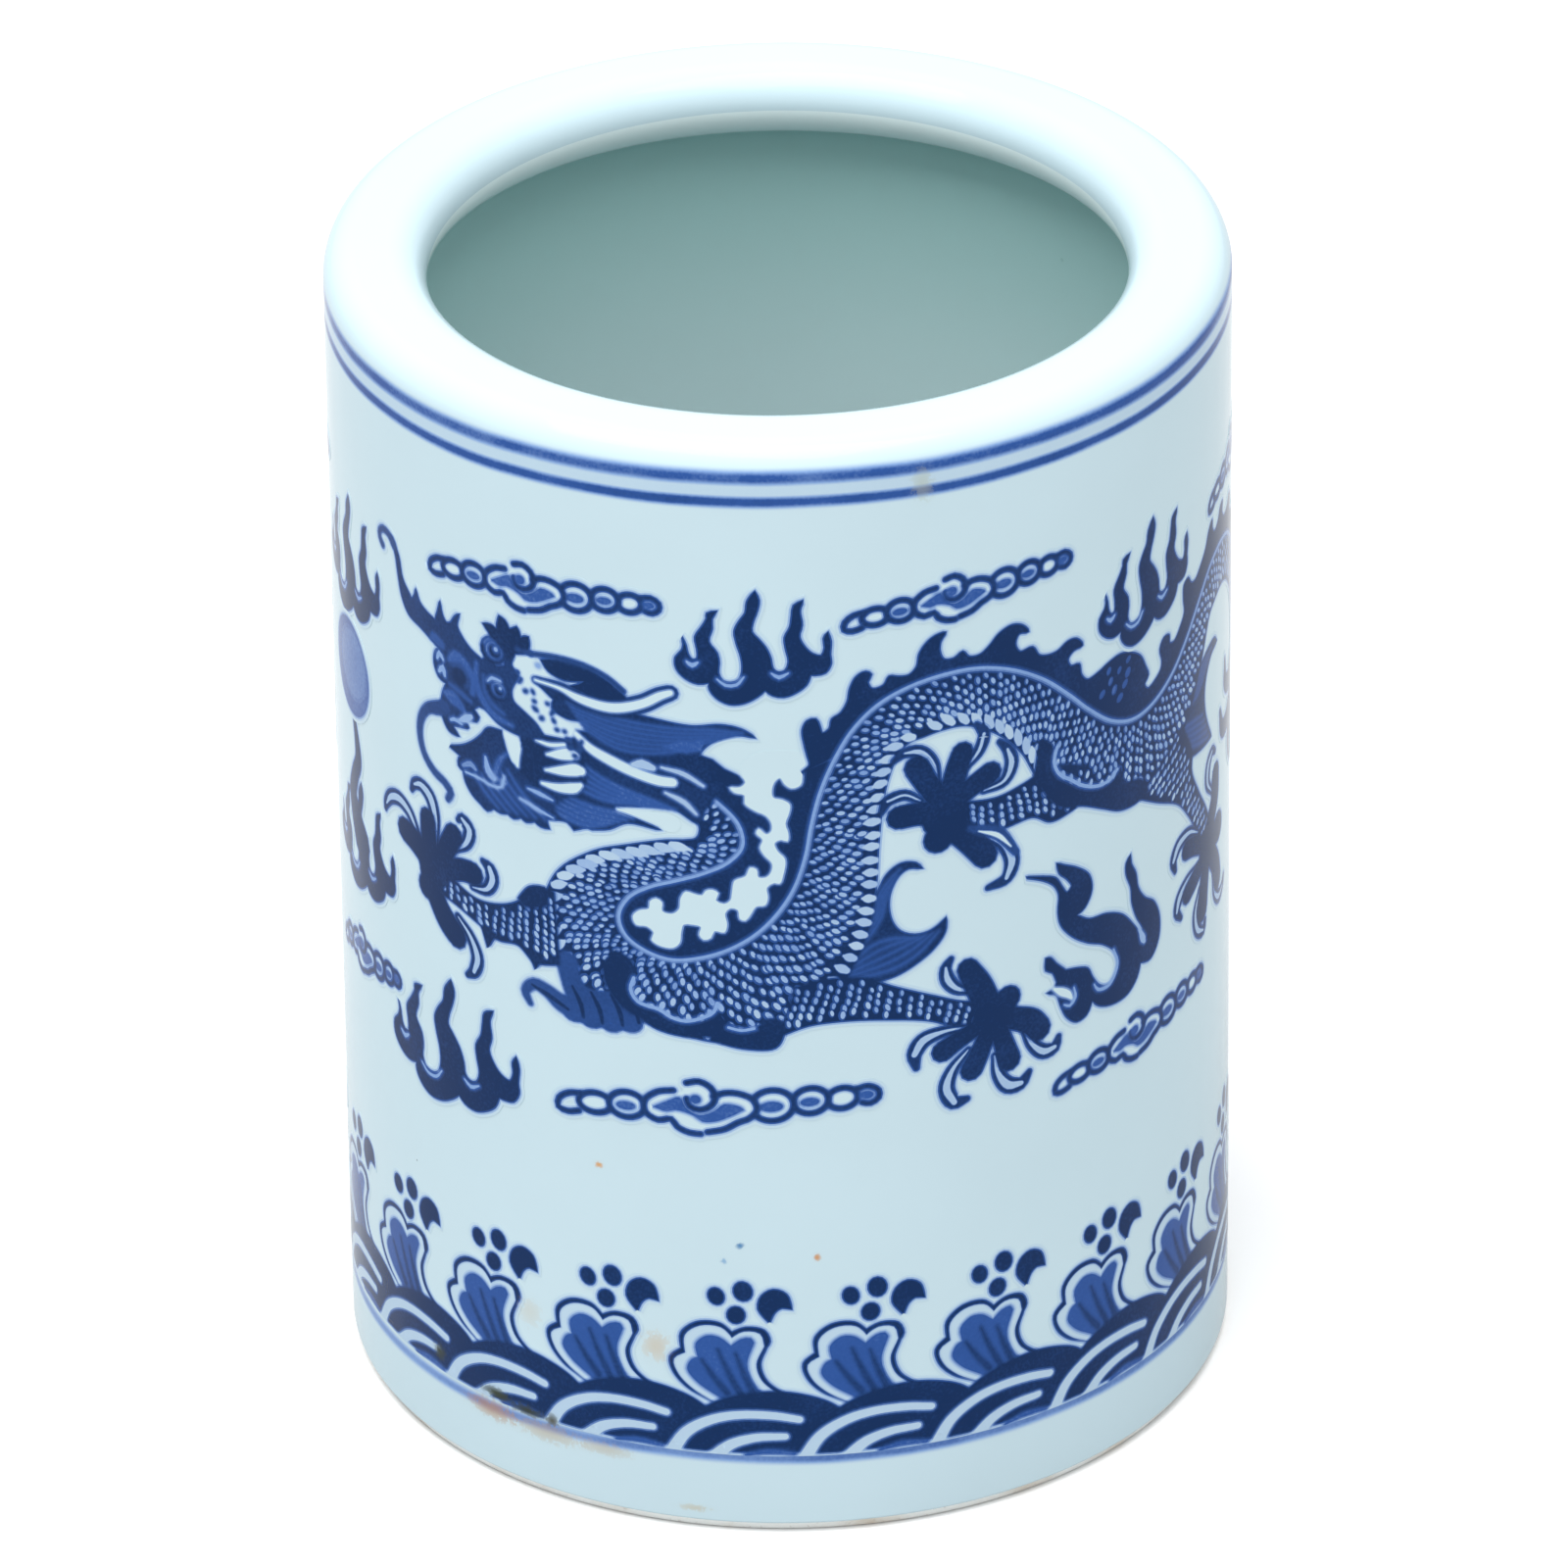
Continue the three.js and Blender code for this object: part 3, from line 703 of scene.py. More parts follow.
    # Hind leg.
    paint_leg(painting, ((53.6, 88.0, 44.6, 83.2), (56.0, 83.6, 48.6, 80.9), (56.0, 81.0, 52.2, 79.0),
                         (58.0, 77.4, 55.0, 76.2), (60.4, 74.0, 57.2, 73.0), (62.0, 71.0, 58.6, 69.8)),
                         1.2, 0.95)
    paint_toe(painting, ((61.2, 70.6, 2.8), (63.6, 73.6, 2.9), (64.0, 76.6, 2.6)),
              ((62.4, 75.2, 0.7), (60.9, 77.0, 1.3), (61.2, 79.2, 1.5), (62.6, 80.2, 1.1), (63.7, 79.6, 0.5)))
    paint_toe(painting, ((59.2, 70.0, 2.0), (56.8, 71.2, 2.3), (54.8, 71.7, 2.3)),
              ((57.8, 72.4, 0.6), (55.4, 73.6, 1.3), (52.8, 73.3, 1.6), (51.6, 71.8, 1.3), (52.0, 70.4, 0.5)))
    paint_toe(painting, ((59.2, 68.0, 2.0), (56.8, 66.8, 2.4), (55.0, 66.0, 2.4)),
              ((57.6, 68.2, 0.6), (55.0, 67.7, 1.3), (53.0, 66.4, 1.6), (52.4, 64.9, 1.2), (53.4, 63.7, 0.5)))
    paint_toe(painting, ((60.4, 67.2, 2.4), (59.7, 64.2, 2.7), (59.3, 61.6, 2.8)),
              ((58.4, 64.8, 0.6), (57.2, 62.2, 1.3), (57.9, 59.8, 1.5), (59.6, 58.9, 1.1), (60.2, 59.9, 0.5)))
    paint_toe(painting, ((62.2, 67.4, 2.6), (64.2, 64.8, 2.8), (65.0, 62.6, 2.8)),
              ((63.1, 64.2, 0.6), (64.0, 61.2, 1.3), (65.8, 59.9, 1.5), (67.5, 60.3, 1.1), (68.3, 61.2, 0.5)))
    painting.spot(65.0, 69.2, 1.9, 1.8, 0, halo=True)
    painting.spot(61.4, 69.0, 2.9, 2.6, 0)


def paint_elbow_fins(painting):
    """Wing-like tufts behind the elbows."""
    painting.fill(outline(
            [(2.4, 73.2), (5.4, 76.0), (8.4, 78.9), (10.0, 81.6), (11.2, 84.0), (12.8, 85.1), (14.4, 84.9),
             (15.2, 84.1)],
            [(13.6, 84.4), (12.4, 83.6), (11.5, 81.8), (11.3, 79.8), (11.7, 77.9), (12.6, 76.6), (14.2, 75.9),
             (15.8, 76.0), (17.0, 76.6), (17.9, 77.4)],
            [(17.7, 75.6), (16.4, 73.8), (14.4, 72.3), (12.0, 71.1), (8.6, 70.5), (5.0, 70.6), (2.4, 71.4)],
            [(2.4, 73.2)]), DEEP - 0.05, halo=True)
    hairs(painting, [(4.4, 73.9), (7.2, 76.8), (9.4, 79.6), (10.9, 82.6), (12.6, 84.4)],
        [(5.4, 72.8), (8.0, 75.2), (9.8, 77.4), (10.7, 79.4), (10.9, 81.4)], 5, 0.26, RICH - 0.14)
    hairs(painting, [(5.6, 72.2), (7.8, 74.0), (9.8, 75.4), (11.8, 75.8), (14.0, 75.5)],
        [(6.4, 71.3), (9.0, 71.5), (12.0, 72.1), (14.8, 73.6), (17.0, 75.8)], 5, 0.3, RICH - 0.14)
    painting.fill(outline(
            [(46.0, 91.4), (52.0, 91.6), (57.0, 92.6), (60.6, 94.0), (63.2, 94.2), (64.3, 93.3)],
            [(62.0, 92.8), (60.4, 91.2), (59.7, 89.2), (59.9, 86.8), (60.8, 84.6), (62.2, 82.3)],
            [(59.0, 82.5), (55.0, 83.3), (51.4, 85.4), (48.0, 88.0)], [(46.0, 91.4)]), DEEP - 0.05,
        halo=True)
    hairs(painting, [(48.4, 91.0), (52.4, 91.2), (56.2, 92.0), (59.6, 93.1), (62.2, 93.6)],
        [(49.0, 89.8), (52.4, 89.5), (55.2, 89.6), (57.6, 90.0), (59.2, 90.9)], 5, 0.26, RICH - 0.14)
    hairs(painting, [(49.4, 89.0), (52.4, 88.0), (55.0, 87.4), (57.4, 87.0), (59.2, 86.6)],
        [(50.8, 86.8), (53.4, 85.3), (56.0, 84.2), (58.6, 83.4), (61.0, 82.9)], 5, 0.3, RICH - 0.14)


def paint_ruffle(painting):
    """The curled tuft under the chest."""
    painting.brush(
        ((-25.0, 70.6, 2.6), (-24.6, 68.6, 2.4), (-23.6, 66.8, 3.0), (-21.6, 66.0, 3.6), (-18.6, 66.2, 4.0)),
        RICH - 0.04, halo=True)
    painting.brush(
        ((-29.9, 64.0, 0.6), (-30.5, 65.3, 1.0), (-29.3, 66.6, 1.3), (-27.6, 66.2, 1.6), (-25.8, 65.2, 2.2),
         (-23.0, 64.9, 2.9), (-20.0, 65.2, 3.2), (-17.2, 65.2, 2.4)), RICH - 0.04, halo=True)
    for x, y in ((-24.2, 64.2), (-22.0, 63.9), (-19.6, 63.9), (-17.4, 64.3)):
        painting.spot(x, y, 1.2, 0.85, 10, RICH - 0.04, halo=True)
    for x, y in ((-23.2, 64.1), (-20.9, 63.9), (-18.5, 64.1), (-16.6, 64.8)):
        painting.brush(((x - 1.2, y + 3.6, 0.2), (x - 0.2, y + 1.6, 0.5), (x + 0.1, y, 0.3)),
                       DEEP, bleed=((0.1, 0.5),))
    painting.brush(((-29.6, 66.4, 0.2), (-27.4, 65.7, 0.5), (-25.0, 64.6, 0.3)), DEEP, bleed=((0.1, 0.5),))


def paint_tail(painting):
    """The tuft of flame that ends the tail, round the side of the pot."""
    painting.brush(((76.6, 90.0, 4.0), (76.0, 86.0, 4.4), (74.6, 82.6, 4.6), (72.6, 79.4, 3.6),
                    (71.6, 76.4, 1.8),
                    (72.4, 74.0, 0.5)), DEEP, halo=True)
    painting.brush(((74.6, 87.0, 2.4), (71.6, 84.6, 2.4), (69.0, 85.6, 1.8), (68.6, 88.6, 0.5)),
                   DEEP, halo=True)
    painting.brush(((74.0, 83.4, 2.4), (70.4, 80.4, 2.4), (67.2, 80.6, 1.9), (66.0, 83.4, 0.5)),
                   DEEP, halo=True)
    painting.brush(((77.0, 87.0, 2.4), (79.4, 83.0, 2.4), (79.0, 79.2, 1.9), (80.8, 76.0, 0.5)),
                   DEEP, halo=True)
    painting.brush(((75.4, 83.0, 2.2), (76.6, 79.0, 2.0), (75.6, 75.4, 1.4), (77.0, 72.4, 0.4)),
                   DEEP, halo=True)
    painting.brush(((75.6, 88.0, 0.3), (74.8, 84.4, 0.5), (73.0, 80.6, 0.2)), PALE)


def hairs(painting, first, last, count, width, density):
    """Strands that lie evenly between two guide strokes of the same number of points."""
    for i in range(count):
        k = i / max(1, count - 1)
        rows = [(a[0] + (b[0] - a[0]) * k, a[1] + (b[1] - a[1]) * k) for a, b in zip(first, last)]
        sizes = [0.15, *[width] * (len(rows) - 2), 0.1]
        painting.brush([(x, y, size) for (x, y), size in zip(rows, sizes)], density)


def paint_mane(painting):
    """Swept-back mane behind the horns, and the fin-like locks under it."""
    mane = outline(
        [(-28.3, 105.2), (-25.5, 105.0), (-24.0, 104.2), (-20.5, 103.6), (-16.0, 103.5), (-10.0, 102.9),
         (-6.8, 103.3),
         (-4.6, 102.9), (-3.0, 101.9)],
        [(-4.6, 102.2), (-5.8, 102.1), (-7.6, 101.3), (-9.0, 99.9), (-9.4, 98.6)],
        [(-7.6, 97.6), (-7.0, 95.6), (-8.6, 92.8), (-9.6, 90.9)], [(-12.6, 92.6), (-18.4, 91.7)],
        [(-16.2, 90.6), (-13.6, 89.6)], [(-17.4, 89.9), (-19.6, 88.7), (-21.6, 88.2)],
        [(-22.2, 88.3), (-23.8, 87.6)], [(-24.6, 88.4), (-26.8, 88.2)], [(-30.5, 90.5), (-31.5, 93.4)],
        [(-28.0, 95.5), (-24.4, 98.4)], [(-23.5, 99.2), (-23.2, 100.1)],
        [(-21.8, 100.3), (-21.5, 100.9), (-21.9, 101.5), (-24.4, 101.4), (-26.2, 102.2), (-26.0, 103.3)],
        step=0.5)
    painting.fill(mane, DEEP - 0.04, halo=True)
    hairs(painting, [(-24.2, 103.4), (-19.0, 102.7), (-13.0, 102.4), (-7.5, 102.6), (-4.4, 102.4)],
        [(-22.2, 100.6), (-18.5, 99.0), (-14.6, 99.0), (-11.0, 99.9), (-7.5, 101.6)], 7, 0.26, WASH + 0.08)
    hairs(painting, [(-22.4, 96.0), (-20.4, 94.9), (-17.6, 93.9), (-14.6, 93.1), (-12.0, 92.3)],
        [(-22.6, 92.8), (-21.0, 92.4), (-19.2, 92.2), (-17.2, 92.4), (-15.0, 92.4)], 5, 0.34, WASH + 0.02)
    hairs(painting, [(-24.2, 91.5), (-22.4, 91.1), (-20.6, 90.9), (-18.8, 90.8), (-16.8, 90.5)],
        [(-26.4, 89.4), (-25.0, 89.0), (-23.4, 88.6), (-21.8, 88.6), (-20.0, 89.1)], 5, 0.42, WASH)
    painting.brush([(-18.5, 91.35, 0.2), (-16.6, 91.25, 0.7), (-14.8, 90.9, 0.8), (-12.4, 90.5, 1.4)], BARE)
    painting.fill([(-9.0, 100.0), (-10.6, 99.6), (-13.2, 100.1), (-11.2, 100.8), (-8.6, 101.2)], WASH)
    painting.brush(
        [(-23.3, 99.7, 0.5), (-21.8, 98.4, 0.9), (-19.0, 97.2, 1.15), (-16.0, 96.2, 1.1),
         (-13.6, 95.7, 1.1), (-12.2, 95.7, 1.0)],
        BARE)
    painting.brush([(-16.6, 97.3, 0.5), (-15.6, 97.5, 1.1), (-14.4, 97.2, 0.7)], PALE - 0.12)
    painting.brush([(-13.4, 97.4, 0.3), (-11.0, 96.9, 0.55), (-8.8, 95.6, 0.35)], PALE - 0.1)
    painting.brush([(-13.0, 94.3, 0.3), (-11.0, 93.4, 0.6), (-9.6, 92.0, 0.3)], PALE - 0.1)
    # The dark leaf above the horn, with its outline.
    painting.fill(outline(
            [(-25.5, 108.4), (-22.0, 108.2), (-19.3, 107.0), (-17.4, 105.3), (-20.5, 104.8), (-23.9, 105.5)],
            [(-22.8, 106.0), (-22.2, 106.5)], [(-24.6, 106.1), (-26.6, 106.7), (-27.5, 107.8)]),
        DEEP, halo=True)
    painting.line([(-28.9, 108.2), (-26.0, 108.6), (-22.5, 108.5), (-19.6, 107.6),
                   (-17.6, 106.2)], 0.45, RICH)
    # The horn.
    horn = [(-28.3, 105.1, 0.6), (-25.2, 104.9, 1.2), (-22.8, 104.2, 1.7), (-19.0, 103.9, 1.9),
            (-15.5, 105.0, 1.8),
            (-13.4, 106.3, 1.7), (-12.3, 106.8, 1.5)]
    painting.brush([(x, y, w + 0.1) for x, y, w in horn], DEEP, halo=True)
    painting.brush([(x, y, max(0.2, w - 0.85)) for x, y, w in horn], BARE)


def paint_jaw(painting):
    """Open lower jaw with its beard, the cheek's lobes, the fangs and the tongue."""
    jaw = outline([(-38.8, 93.4), (-37.2, 94.5), (-35.9, 95.8), (-34.9, 97.0), (-33.0, 97.3)],
        [(-32.7, 95.8), (-31.9, 93.9), (-30.8, 92.9)], [(-28.0, 91.4), (-25.6, 88.6)],
        [(-27.2, 88.0), (-26.9, 86.9)],
        [(-28.0, 86.9), (-28.8, 87.3)], [(-29.9, 86.9), (-30.6, 87.25)], [(-31.6, 86.8), (-32.4, 87.15)],
        [(-33.4, 86.9), (-34.4, 87.1)], [(-35.3, 86.5), (-36.2, 87.0)], [(-37.4, 87.7), (-38.4, 88.9),
            (-38.8, 90.2)],
        [(-39.5, 90.6), (-39.4, 91.6), (-39.0, 91.9)], [(-40.9, 92.5)], step=0.5)
    painting.fill(jaw, DEEP - 0.06, halo=True)
    hairs(painting, [(-32.3, 92.6), (-30.8, 90.8), (-29.2, 89.3), (-27.4, 87.9)],
        [(-36.9, 90.4), (-36.0, 89.2), (-34.6, 88.0), (-33.6, 87.3)], 6, 0.28, WASH + 0.06)
    painting.brush([(-32.4, 94.6, 0.2), (-33.4, 93.4, 0.5), (-33.9, 91.4, 0.5), (-32.6, 90.8, 0.3)], WASH)
    painting.brush([(-35.4, 93.2, 0.3), (-35.0, 91.6, 0.9), (-34.2, 90.9, 0.6)], PALE)
    painting.brush([(-38.8, 90.9, 0.4), (-37.6, 91.5, 0.7), (-36.9, 91.1, 0.4)], PALE + 0.1)
    painting.line([(-38.4, 90.2), (-36.4, 90.2), (-34.4, 89.9), (-33.2, 90.2), (-32.8, 91.6)], 0.3, PALE)
    # The cheek's lobes, with pale petals between them.
    painting.fill(outline([(-30.2, 98.2), (-27.5, 98.4), (-24.6, 98.6)],
            [(-22.9, 97.2), (-22.2, 95.4), (-22.3, 94.0), (-23.0, 92.5), (-25.0, 91.6), (-28.0, 91.8),
             (-30.2, 93.0),
             (-30.9, 95.0), (-30.3, 96.6)]), DEEP, halo=True)
    for petal in ([(-28.4, 97.6, 0.2), (-26.6, 97.5, 0.4), (-24.8, 98.0, 0.3)],
        [(-27.0, 96.2, 0.2), (-25.4, 96.6, 1.1), (-24.0, 97.0, 1.3), (-23.5, 97.0, 0.9)],
        [(-27.2, 94.2, 0.2), (-25.0, 94.7, 1.1), (-23.3, 95.2, 1.35), (-22.8, 95.2, 1.0)],
        [(-27.7, 92.4, 0.3), (-25.6, 92.4, 0.9), (-23.6, 92.9, 1.1), (-22.9, 93.4, 0.5)]):
        painting.brush(petal, BARE)
    painting.brush([(-32.1, 97.0, 1.0), (-31.3, 96.2, 1.6), (-31.2, 94.9, 1.2), (-30.9, 93.6, 0.3)], BARE)
    painting.brush([(-29.6, 91.2, 0.2), (-28.2, 91.0, 0.55), (-26.4, 90.6, 0.2)], PALE)
    painting.brush([(-30.6, 89.6, 0.2), (-28.6, 89.0, 0.45), (-26.4, 88.4, 0.2)], PALE)


def paint_face(painting):
    """The snout with its long curling feeler, the brow, the eyes and the crown tuft."""
    snout = outline([(-50.6, 114.5), (-49.3, 112.7), (-48.6, 110.2), (-46.9, 108.4)],
        [(-46.4, 109.0), (-46.1, 110.0)], [(-45.4, 108.6), (-44.2, 107.9), (-42.8, 107.5)],
        [(-42.3, 108.8), (-41.9, 110.2)],
        [(-41.5, 108.6), (-40.9, 107.9), (-40.2, 108.2), (-39.6, 109.1), (-38.8, 109.8)],
        [(-39.2, 108.2), (-38.4, 107.0), (-37.2, 106.0), (-35.6, 105.3)],
        [(-34.6, 105.8), (-33.6, 105.2), (-32.4, 105.6)], [(-31.9, 107.5), (-31.2, 107.3)],
        [(-31.4, 106.0), (-30.5, 104.9), (-31.1, 103.8), (-31.5, 102.8), (-31.3, 101.6), (-29.8, 100.6),
         (-28.4, 99.7),
         (-27.4, 98.5)], [(-28.8, 97.7), (-31.0, 97.6), (-33.4, 98.1), (-35.2, 99.2), (-36.2, 99.3)],
        [(-36.9, 98.6), (-36.2, 97.9), (-36.6, 97.2)], [(-37.6, 97.0), (-38.4, 96.8)],
        [(-37.8, 96.0), (-39.4, 95.6)], [(-40.2, 95.3), (-39.3, 94.3)],
        [(-40.8, 94.4), (-41.6, 95.2), (-42.2, 96.6)], [(-41.9, 98.4), (-41.2, 100.2)],
        [(-42.4, 100.6), (-43.1, 102.0), (-42.9, 103.5), (-42.3, 104.2)],
        [(-43.6, 104.8), (-45.4, 105.5), (-47.6, 106.2), (-48.8, 107.8), (-49.4, 109.9), (-49.8, 112.0)],
        step=0.4)
    painting.fill(snout, DEEP - 0.08, halo=True)
    painting.brush(
        [(-50.3, 113.6, 0.9), (-51.2, 114.4, 0.75), (-52.4, 114.6, 0.7), (-53.3, 114.0, 0.6),
         (-53.3, 113.2, 0.6), (-52.7, 112.5, 0.7)],
        RICH, halo=True)
    painting.brush(
        [(-41.6, 97.0, 1.6), (-42.8, 96.5, 1.5), (-44.5, 95.7, 1.1), (-45.7, 94.0, 0.95),
         (-46.0, 91.9, 0.85), (-45.3, 89.7, 0.8),
         (-43.6, 88.2, 0.85), (-41.8, 87.5, 0.85), (-40.9, 86.6, 0.9), (-41.4, 85.6, 0.6)], RICH, halo=True)
    # Washes of lighter blue on the snout: a swirl round the cheekbone and the folds of the lip.
    painting.brush(
        [(-40.6, 103.4, 0.4), (-39.6, 104.1, 1.5), (-38.0, 103.6, 1.0), (-37.0, 102.2, 0.7),
         (-37.1, 100.6, 0.6)], WASH
    )
    painting.brush([(-40.0, 102.9, 0.3), (-38.9, 103.3, 0.5), (-37.9, 102.3, 0.5),
                    (-38.0, 101.1, 0.4)], RICH - 0.05)
    painting.spot(-39.1, 101.9, 1.0, 0.9, 0, DEEP)
    painting.brush([(-41.5, 99.0, 0.4), (-40.4, 98.9, 1.5), (-39.2, 98.4, 1.0), (-38.4, 97.8, 0.4)], WASH)
    painting.brush([(-40.6, 100.4, 0.3), (-38.8, 99.9, 0.5), (-37.4, 99.4, 0.3)], WASH + 0.08)
    painting.brush([(-36.4, 104.6, 0.3), (-36.5, 102.2, 0.7), (-35.6, 100.3, 0.7), (-33.9, 98.9, 0.6),
                    (-31.5, 98.4, 0.3)], WASH)
    painting.brush([(-35.4, 103.4, 0.2), (-35.3, 101.6, 0.4), (-34.3, 100.3, 0.45),
                    (-32.6, 99.5, 0.2)], WASH + 0.1)
    painting.brush([(-42.6, 102.8, 0.3), (-42.2, 103.6, 0.7), (-41.6, 103.0, 0.3)], PALE)
    painting.brush([(-42.3, 101.3, 0.4), (-41.7, 102.0, 0.8), (-41.4, 101.1, 0.4)], PALE)
    painting.brush([(-43.6, 104.9, 0.2), (-43.2, 105.2, 1.0), (-41.8, 104.8, 0.8)], WASH + 0.08)
    # Fangs.
    painting.brush([(-39.2, 96.4, 0.3), (-38.3, 96.9, 0.9), (-37.4, 97.5, 0.6)], PALE - 0.05)
    painting.brush([(-40.6, 95.9, 0.3), (-40.0, 96.2, 0.5), (-38.8, 96.0, 0.2)], PALE)
    # Eyes: a dark socket, a pale ring and a dark pupil.
    for x, y, size, tilt in ((-33.9, 107.0, 1.75, 20), (-33.4, 102.3, 1.35, 0)):
        painting.spot(x, y, size, size * 0.92, tilt, DEEP, halo=True)
        painting.spot(x + 0.1, y + 0.05, size * 0.66, size * 0.6, tilt, PALE + 0.12)
        painting.spot(x + 0.2, y - 0.05, size * 0.42, size * 0.42, tilt, DEEP)
        painting.spot(x + 0.35, y + 0.25, size * 0.16, size * 0.16, tilt, PALE)
    painting.brush([(-35.2, 107.6, 0.25), (-34.4, 108.3, 0.35), (-33.2, 108.4, 0.25)], WASH)
    painting.brush([(-34.8, 102.9, 0.2), (-34.2, 103.5, 0.4), (-33.0, 103.5, 0.25)], PALE)
    tuft = outline([(-34.2, 108.7), (-34.6, 109.2), (-35.3, 109.9)], [(-34.2, 110.1), (-33.4, 109.9)],
        [(-33.2, 110.8), (-33.0, 111.6)], [(-32.2, 111.3), (-31.6, 110.4)],
        [(-31.2, 110.6), (-30.6, 111.0)], [(-30.3, 110.5), (-30.1, 109.8)],
        [(-29.6, 110.1), (-29.1, 110.2)], [(-29.0, 109.2), (-29.4, 108.2), (-30.9, 107.6)],
        [(-31.6, 106.6), (-32.4, 107.4), (-33.6, 108.4)], step=0.4)
    painting.fill(tuft, DEEP, halo=True)
    painting.brush([(-30.6, 108.2, 0.3), (-29.8, 108.2, 0.3), (-28.9, 108.2, 0.3)], RICH)
    # Freckles on the bare brow.
    for i in range(16):
        x = -30.6 + 0.52 * i + 0.7 * math.sin(i * 2.4)
        y = 104.6 - 0.47 * i + 0.8 * math.cos(i * 3.1)
        painting.spot(x, y, 0.16 + 0.1 * (i % 3), 0.14 + 0.06 * (i % 2), 30 * i, RICH)
    painting.spot(-27.9, 107.0, 0.35, 0.3, 0, PALE)
    painting.spot(-22.9, 97.9, 0.3, 0.25, 0, RICH)


def paint_head(painting):
    painting.fill(outline(
            [(-31.5, 107.6), (-28.5, 108.0), (-26.8, 106.4), (-27.5, 104.2), (-25.5, 101.6), (-23.2, 99.6),
             (-23.4, 97.6),
             (-27.0, 97.2), (-31.0, 98.0), (-32.5, 102.0)]), BARE)
    paint_mane(painting)
    paint_jaw(painting)
    paint_face(painting)


def dragon():
    painting = Painting()
    paint_tail(painting)
    paint_elbow_fins(painting)
    paint_body(painting)
    paint_belly(painting, BODY_SECTIONS[5:13])
    paint_belly(painting, BODY_SECTIONS[17:25], 1.6, 0.7)
    paint_belly(painting, BODY_SECTIONS[24:31], 1.55, 0.9)
    paint_crest(painting)
    painting.line([(p[0], p[1]) for p in through(BODY_SECTIONS)], 0.36, PALE + 0.02)
    paint_ruffle(painting)
    paint_limbs(painting)
    paint_haunches(painting)
    paint_head(painting)
    return painting


# From flat painting to porcelain.

SKIN_RISE = 0.03
SKIN_DEPTH = 0.06
LAYER_STEP = 0.012
SKIN_STEP = 2.4
CLOUD_BORDER = SKIN_STEP * 4
DRAGON_BORDERS = (-5 * SKIN_STEP, 8 * SKIN_STEP)


def on_wall(x, y, radius):
    """A flat (x, y) in millimetres as a place on the wall, in metres."""
    angle = x / OUTER_RADIUS
    return (radius * math.sin(angle) * MM, -radius * math.cos(angle) * MM, y * MM)


def densities(painting, window=None):
    """Splits the painting into triangles that each show one density: (points, triangles, densities)."""
    coats = [(painting.halo, DEEP, HALO[1]), *painting.coats]
    points, faces, owner = [], [], []
    for number, (pieces, _, _) in enumerate(coats):
        for piece in pieces:
            faces.append(list(range(len(points), len(points) + len(piece))))
            points += piece
            owner.append(number)
    low, high = min(p[0] for p in points), max(p[0] for p in points)
    bottom, top = min(p[1] for p in points) - 1, max(p[1] for p in points) + 1
    cuts = [i * SKIN_STEP for i in range(math.floor(low / SKIN_STEP), math.ceil(high / SKIN_STEP) + 1)]
    if window:
        cuts = [window[0], window[1], *[c for c in cuts if window[0] + 0.2 < c < window[1] - 0.2]]
    edges = []
    for cut in cuts:
        edges.append((len(points), len(points) + 1))
        points += [(cut, bottom), (cut, top)]
    if window:
        edges.append((len(points), len(points) + 1))
        points += [(window[0] - 1, window[2]), (window[1] + 1, window[2])]
    flat = [Vector(p) for p in points]
    verts, _, triangles, _, _, claims = delaunay_2d_cdt(flat, edges, faces, 1, 1e-5, True)
    middles = [(sum(verts[i][0] for i in t) / 3, sum(verts[i][1] for i in t) / 3) for t in triangles]
    sizes = [area([verts[i] for i in triangle]) for triangle in triangles]
    claims = checked(claims, middles, sizes, [[points[i] for i in face] for face in faces])
    kept, values = [], []
    for triangle, middle, claim in zip(triangles, middles, claims):
        if not claim or (window and not (window[0] < middle[0] < window[1] and window[2] < middle[1])):
            continue
        value = 0.0
        for number in sorted({owner[i] for i in claim}):
            _, density, strength = coats[number]
            value += (density - value) * strength
        kept.append(triangle)
        values.append(value)
    return verts, kept, values


def checked(claims, middles, sizes, outlines):
    """Which outlines hold each triangle. Where an outline's share doesn't add up, it is found again."""
    shares = [0.0] * len(outlines)
    for claim, size in zip(claims, sizes):
        for i in claim:
            shares[i] += size
    wrong = set()
    for i, outline in enumerate(outlines):
        if abs(shares[i] - area(outline)) > 0.02 * area(outline) + 0.004:
            wrong.add(i)
    claims = [[i for i in claim if i not in wrong] for claim in claims]
    order = sorted(range(len(middles)), key=lambda t: middles[t][0])
    across = [middles[t][0] for t in order]
    for i in wrong:
        xs, ys = zip(*outlines[i])
        low, high = min(ys), max(ys)
        for t in order[bisect_left(across, min(xs)) : bisect_right(across, max(xs))]:
            if low < middles[t][1] < high and holds(outlines[i], *middles[t]):
                claims[t].append(i)
    return claims


def holds(outline, x, y):
    """Whether an outline goes round a point."""
    turns = 0
    for (x0, y0), (x1, y1) in zip(outline, [*outline[1:], outline[0]]):
        if (y0 <= y) != (y1 <= y):
            side = (x1 - x0) * (y - y0) - (x - x0) * (y1 - y0)
            if y1 > y0 and side > 0:
                turns += 1
            if y1 < y0 and side < 0:
                turns -= 1
    return turns != 0


def skin(name, painting, material, window=None, layer=0):
    """Lays a painting on the wall as a thin closed skin, with its density on the faces of its front."""
    return skins([name], painting, material, window=window, layer=layer)[0]


def skins(names, painting, material, borders=(), window=None, layer=0):
    """The same, as one piece for each stretch of wall between the borders. Layers that touch lie apart."""
    verts, triangles, values = densities(painting, window)
    borders = [-math.inf, *borders, math.inf]
    pieces = []
    for name, low, high in zip(names, borders, borders[1:]):
        chosen = []
        for triangle, value in zip(triangles, values):
            if low < sum(verts[i][0] for i in triangle) / 3 < high:
                chosen.append((triangle, value))
        pieces.append(laid(name, verts, chosen, material, layer))
    return pieces


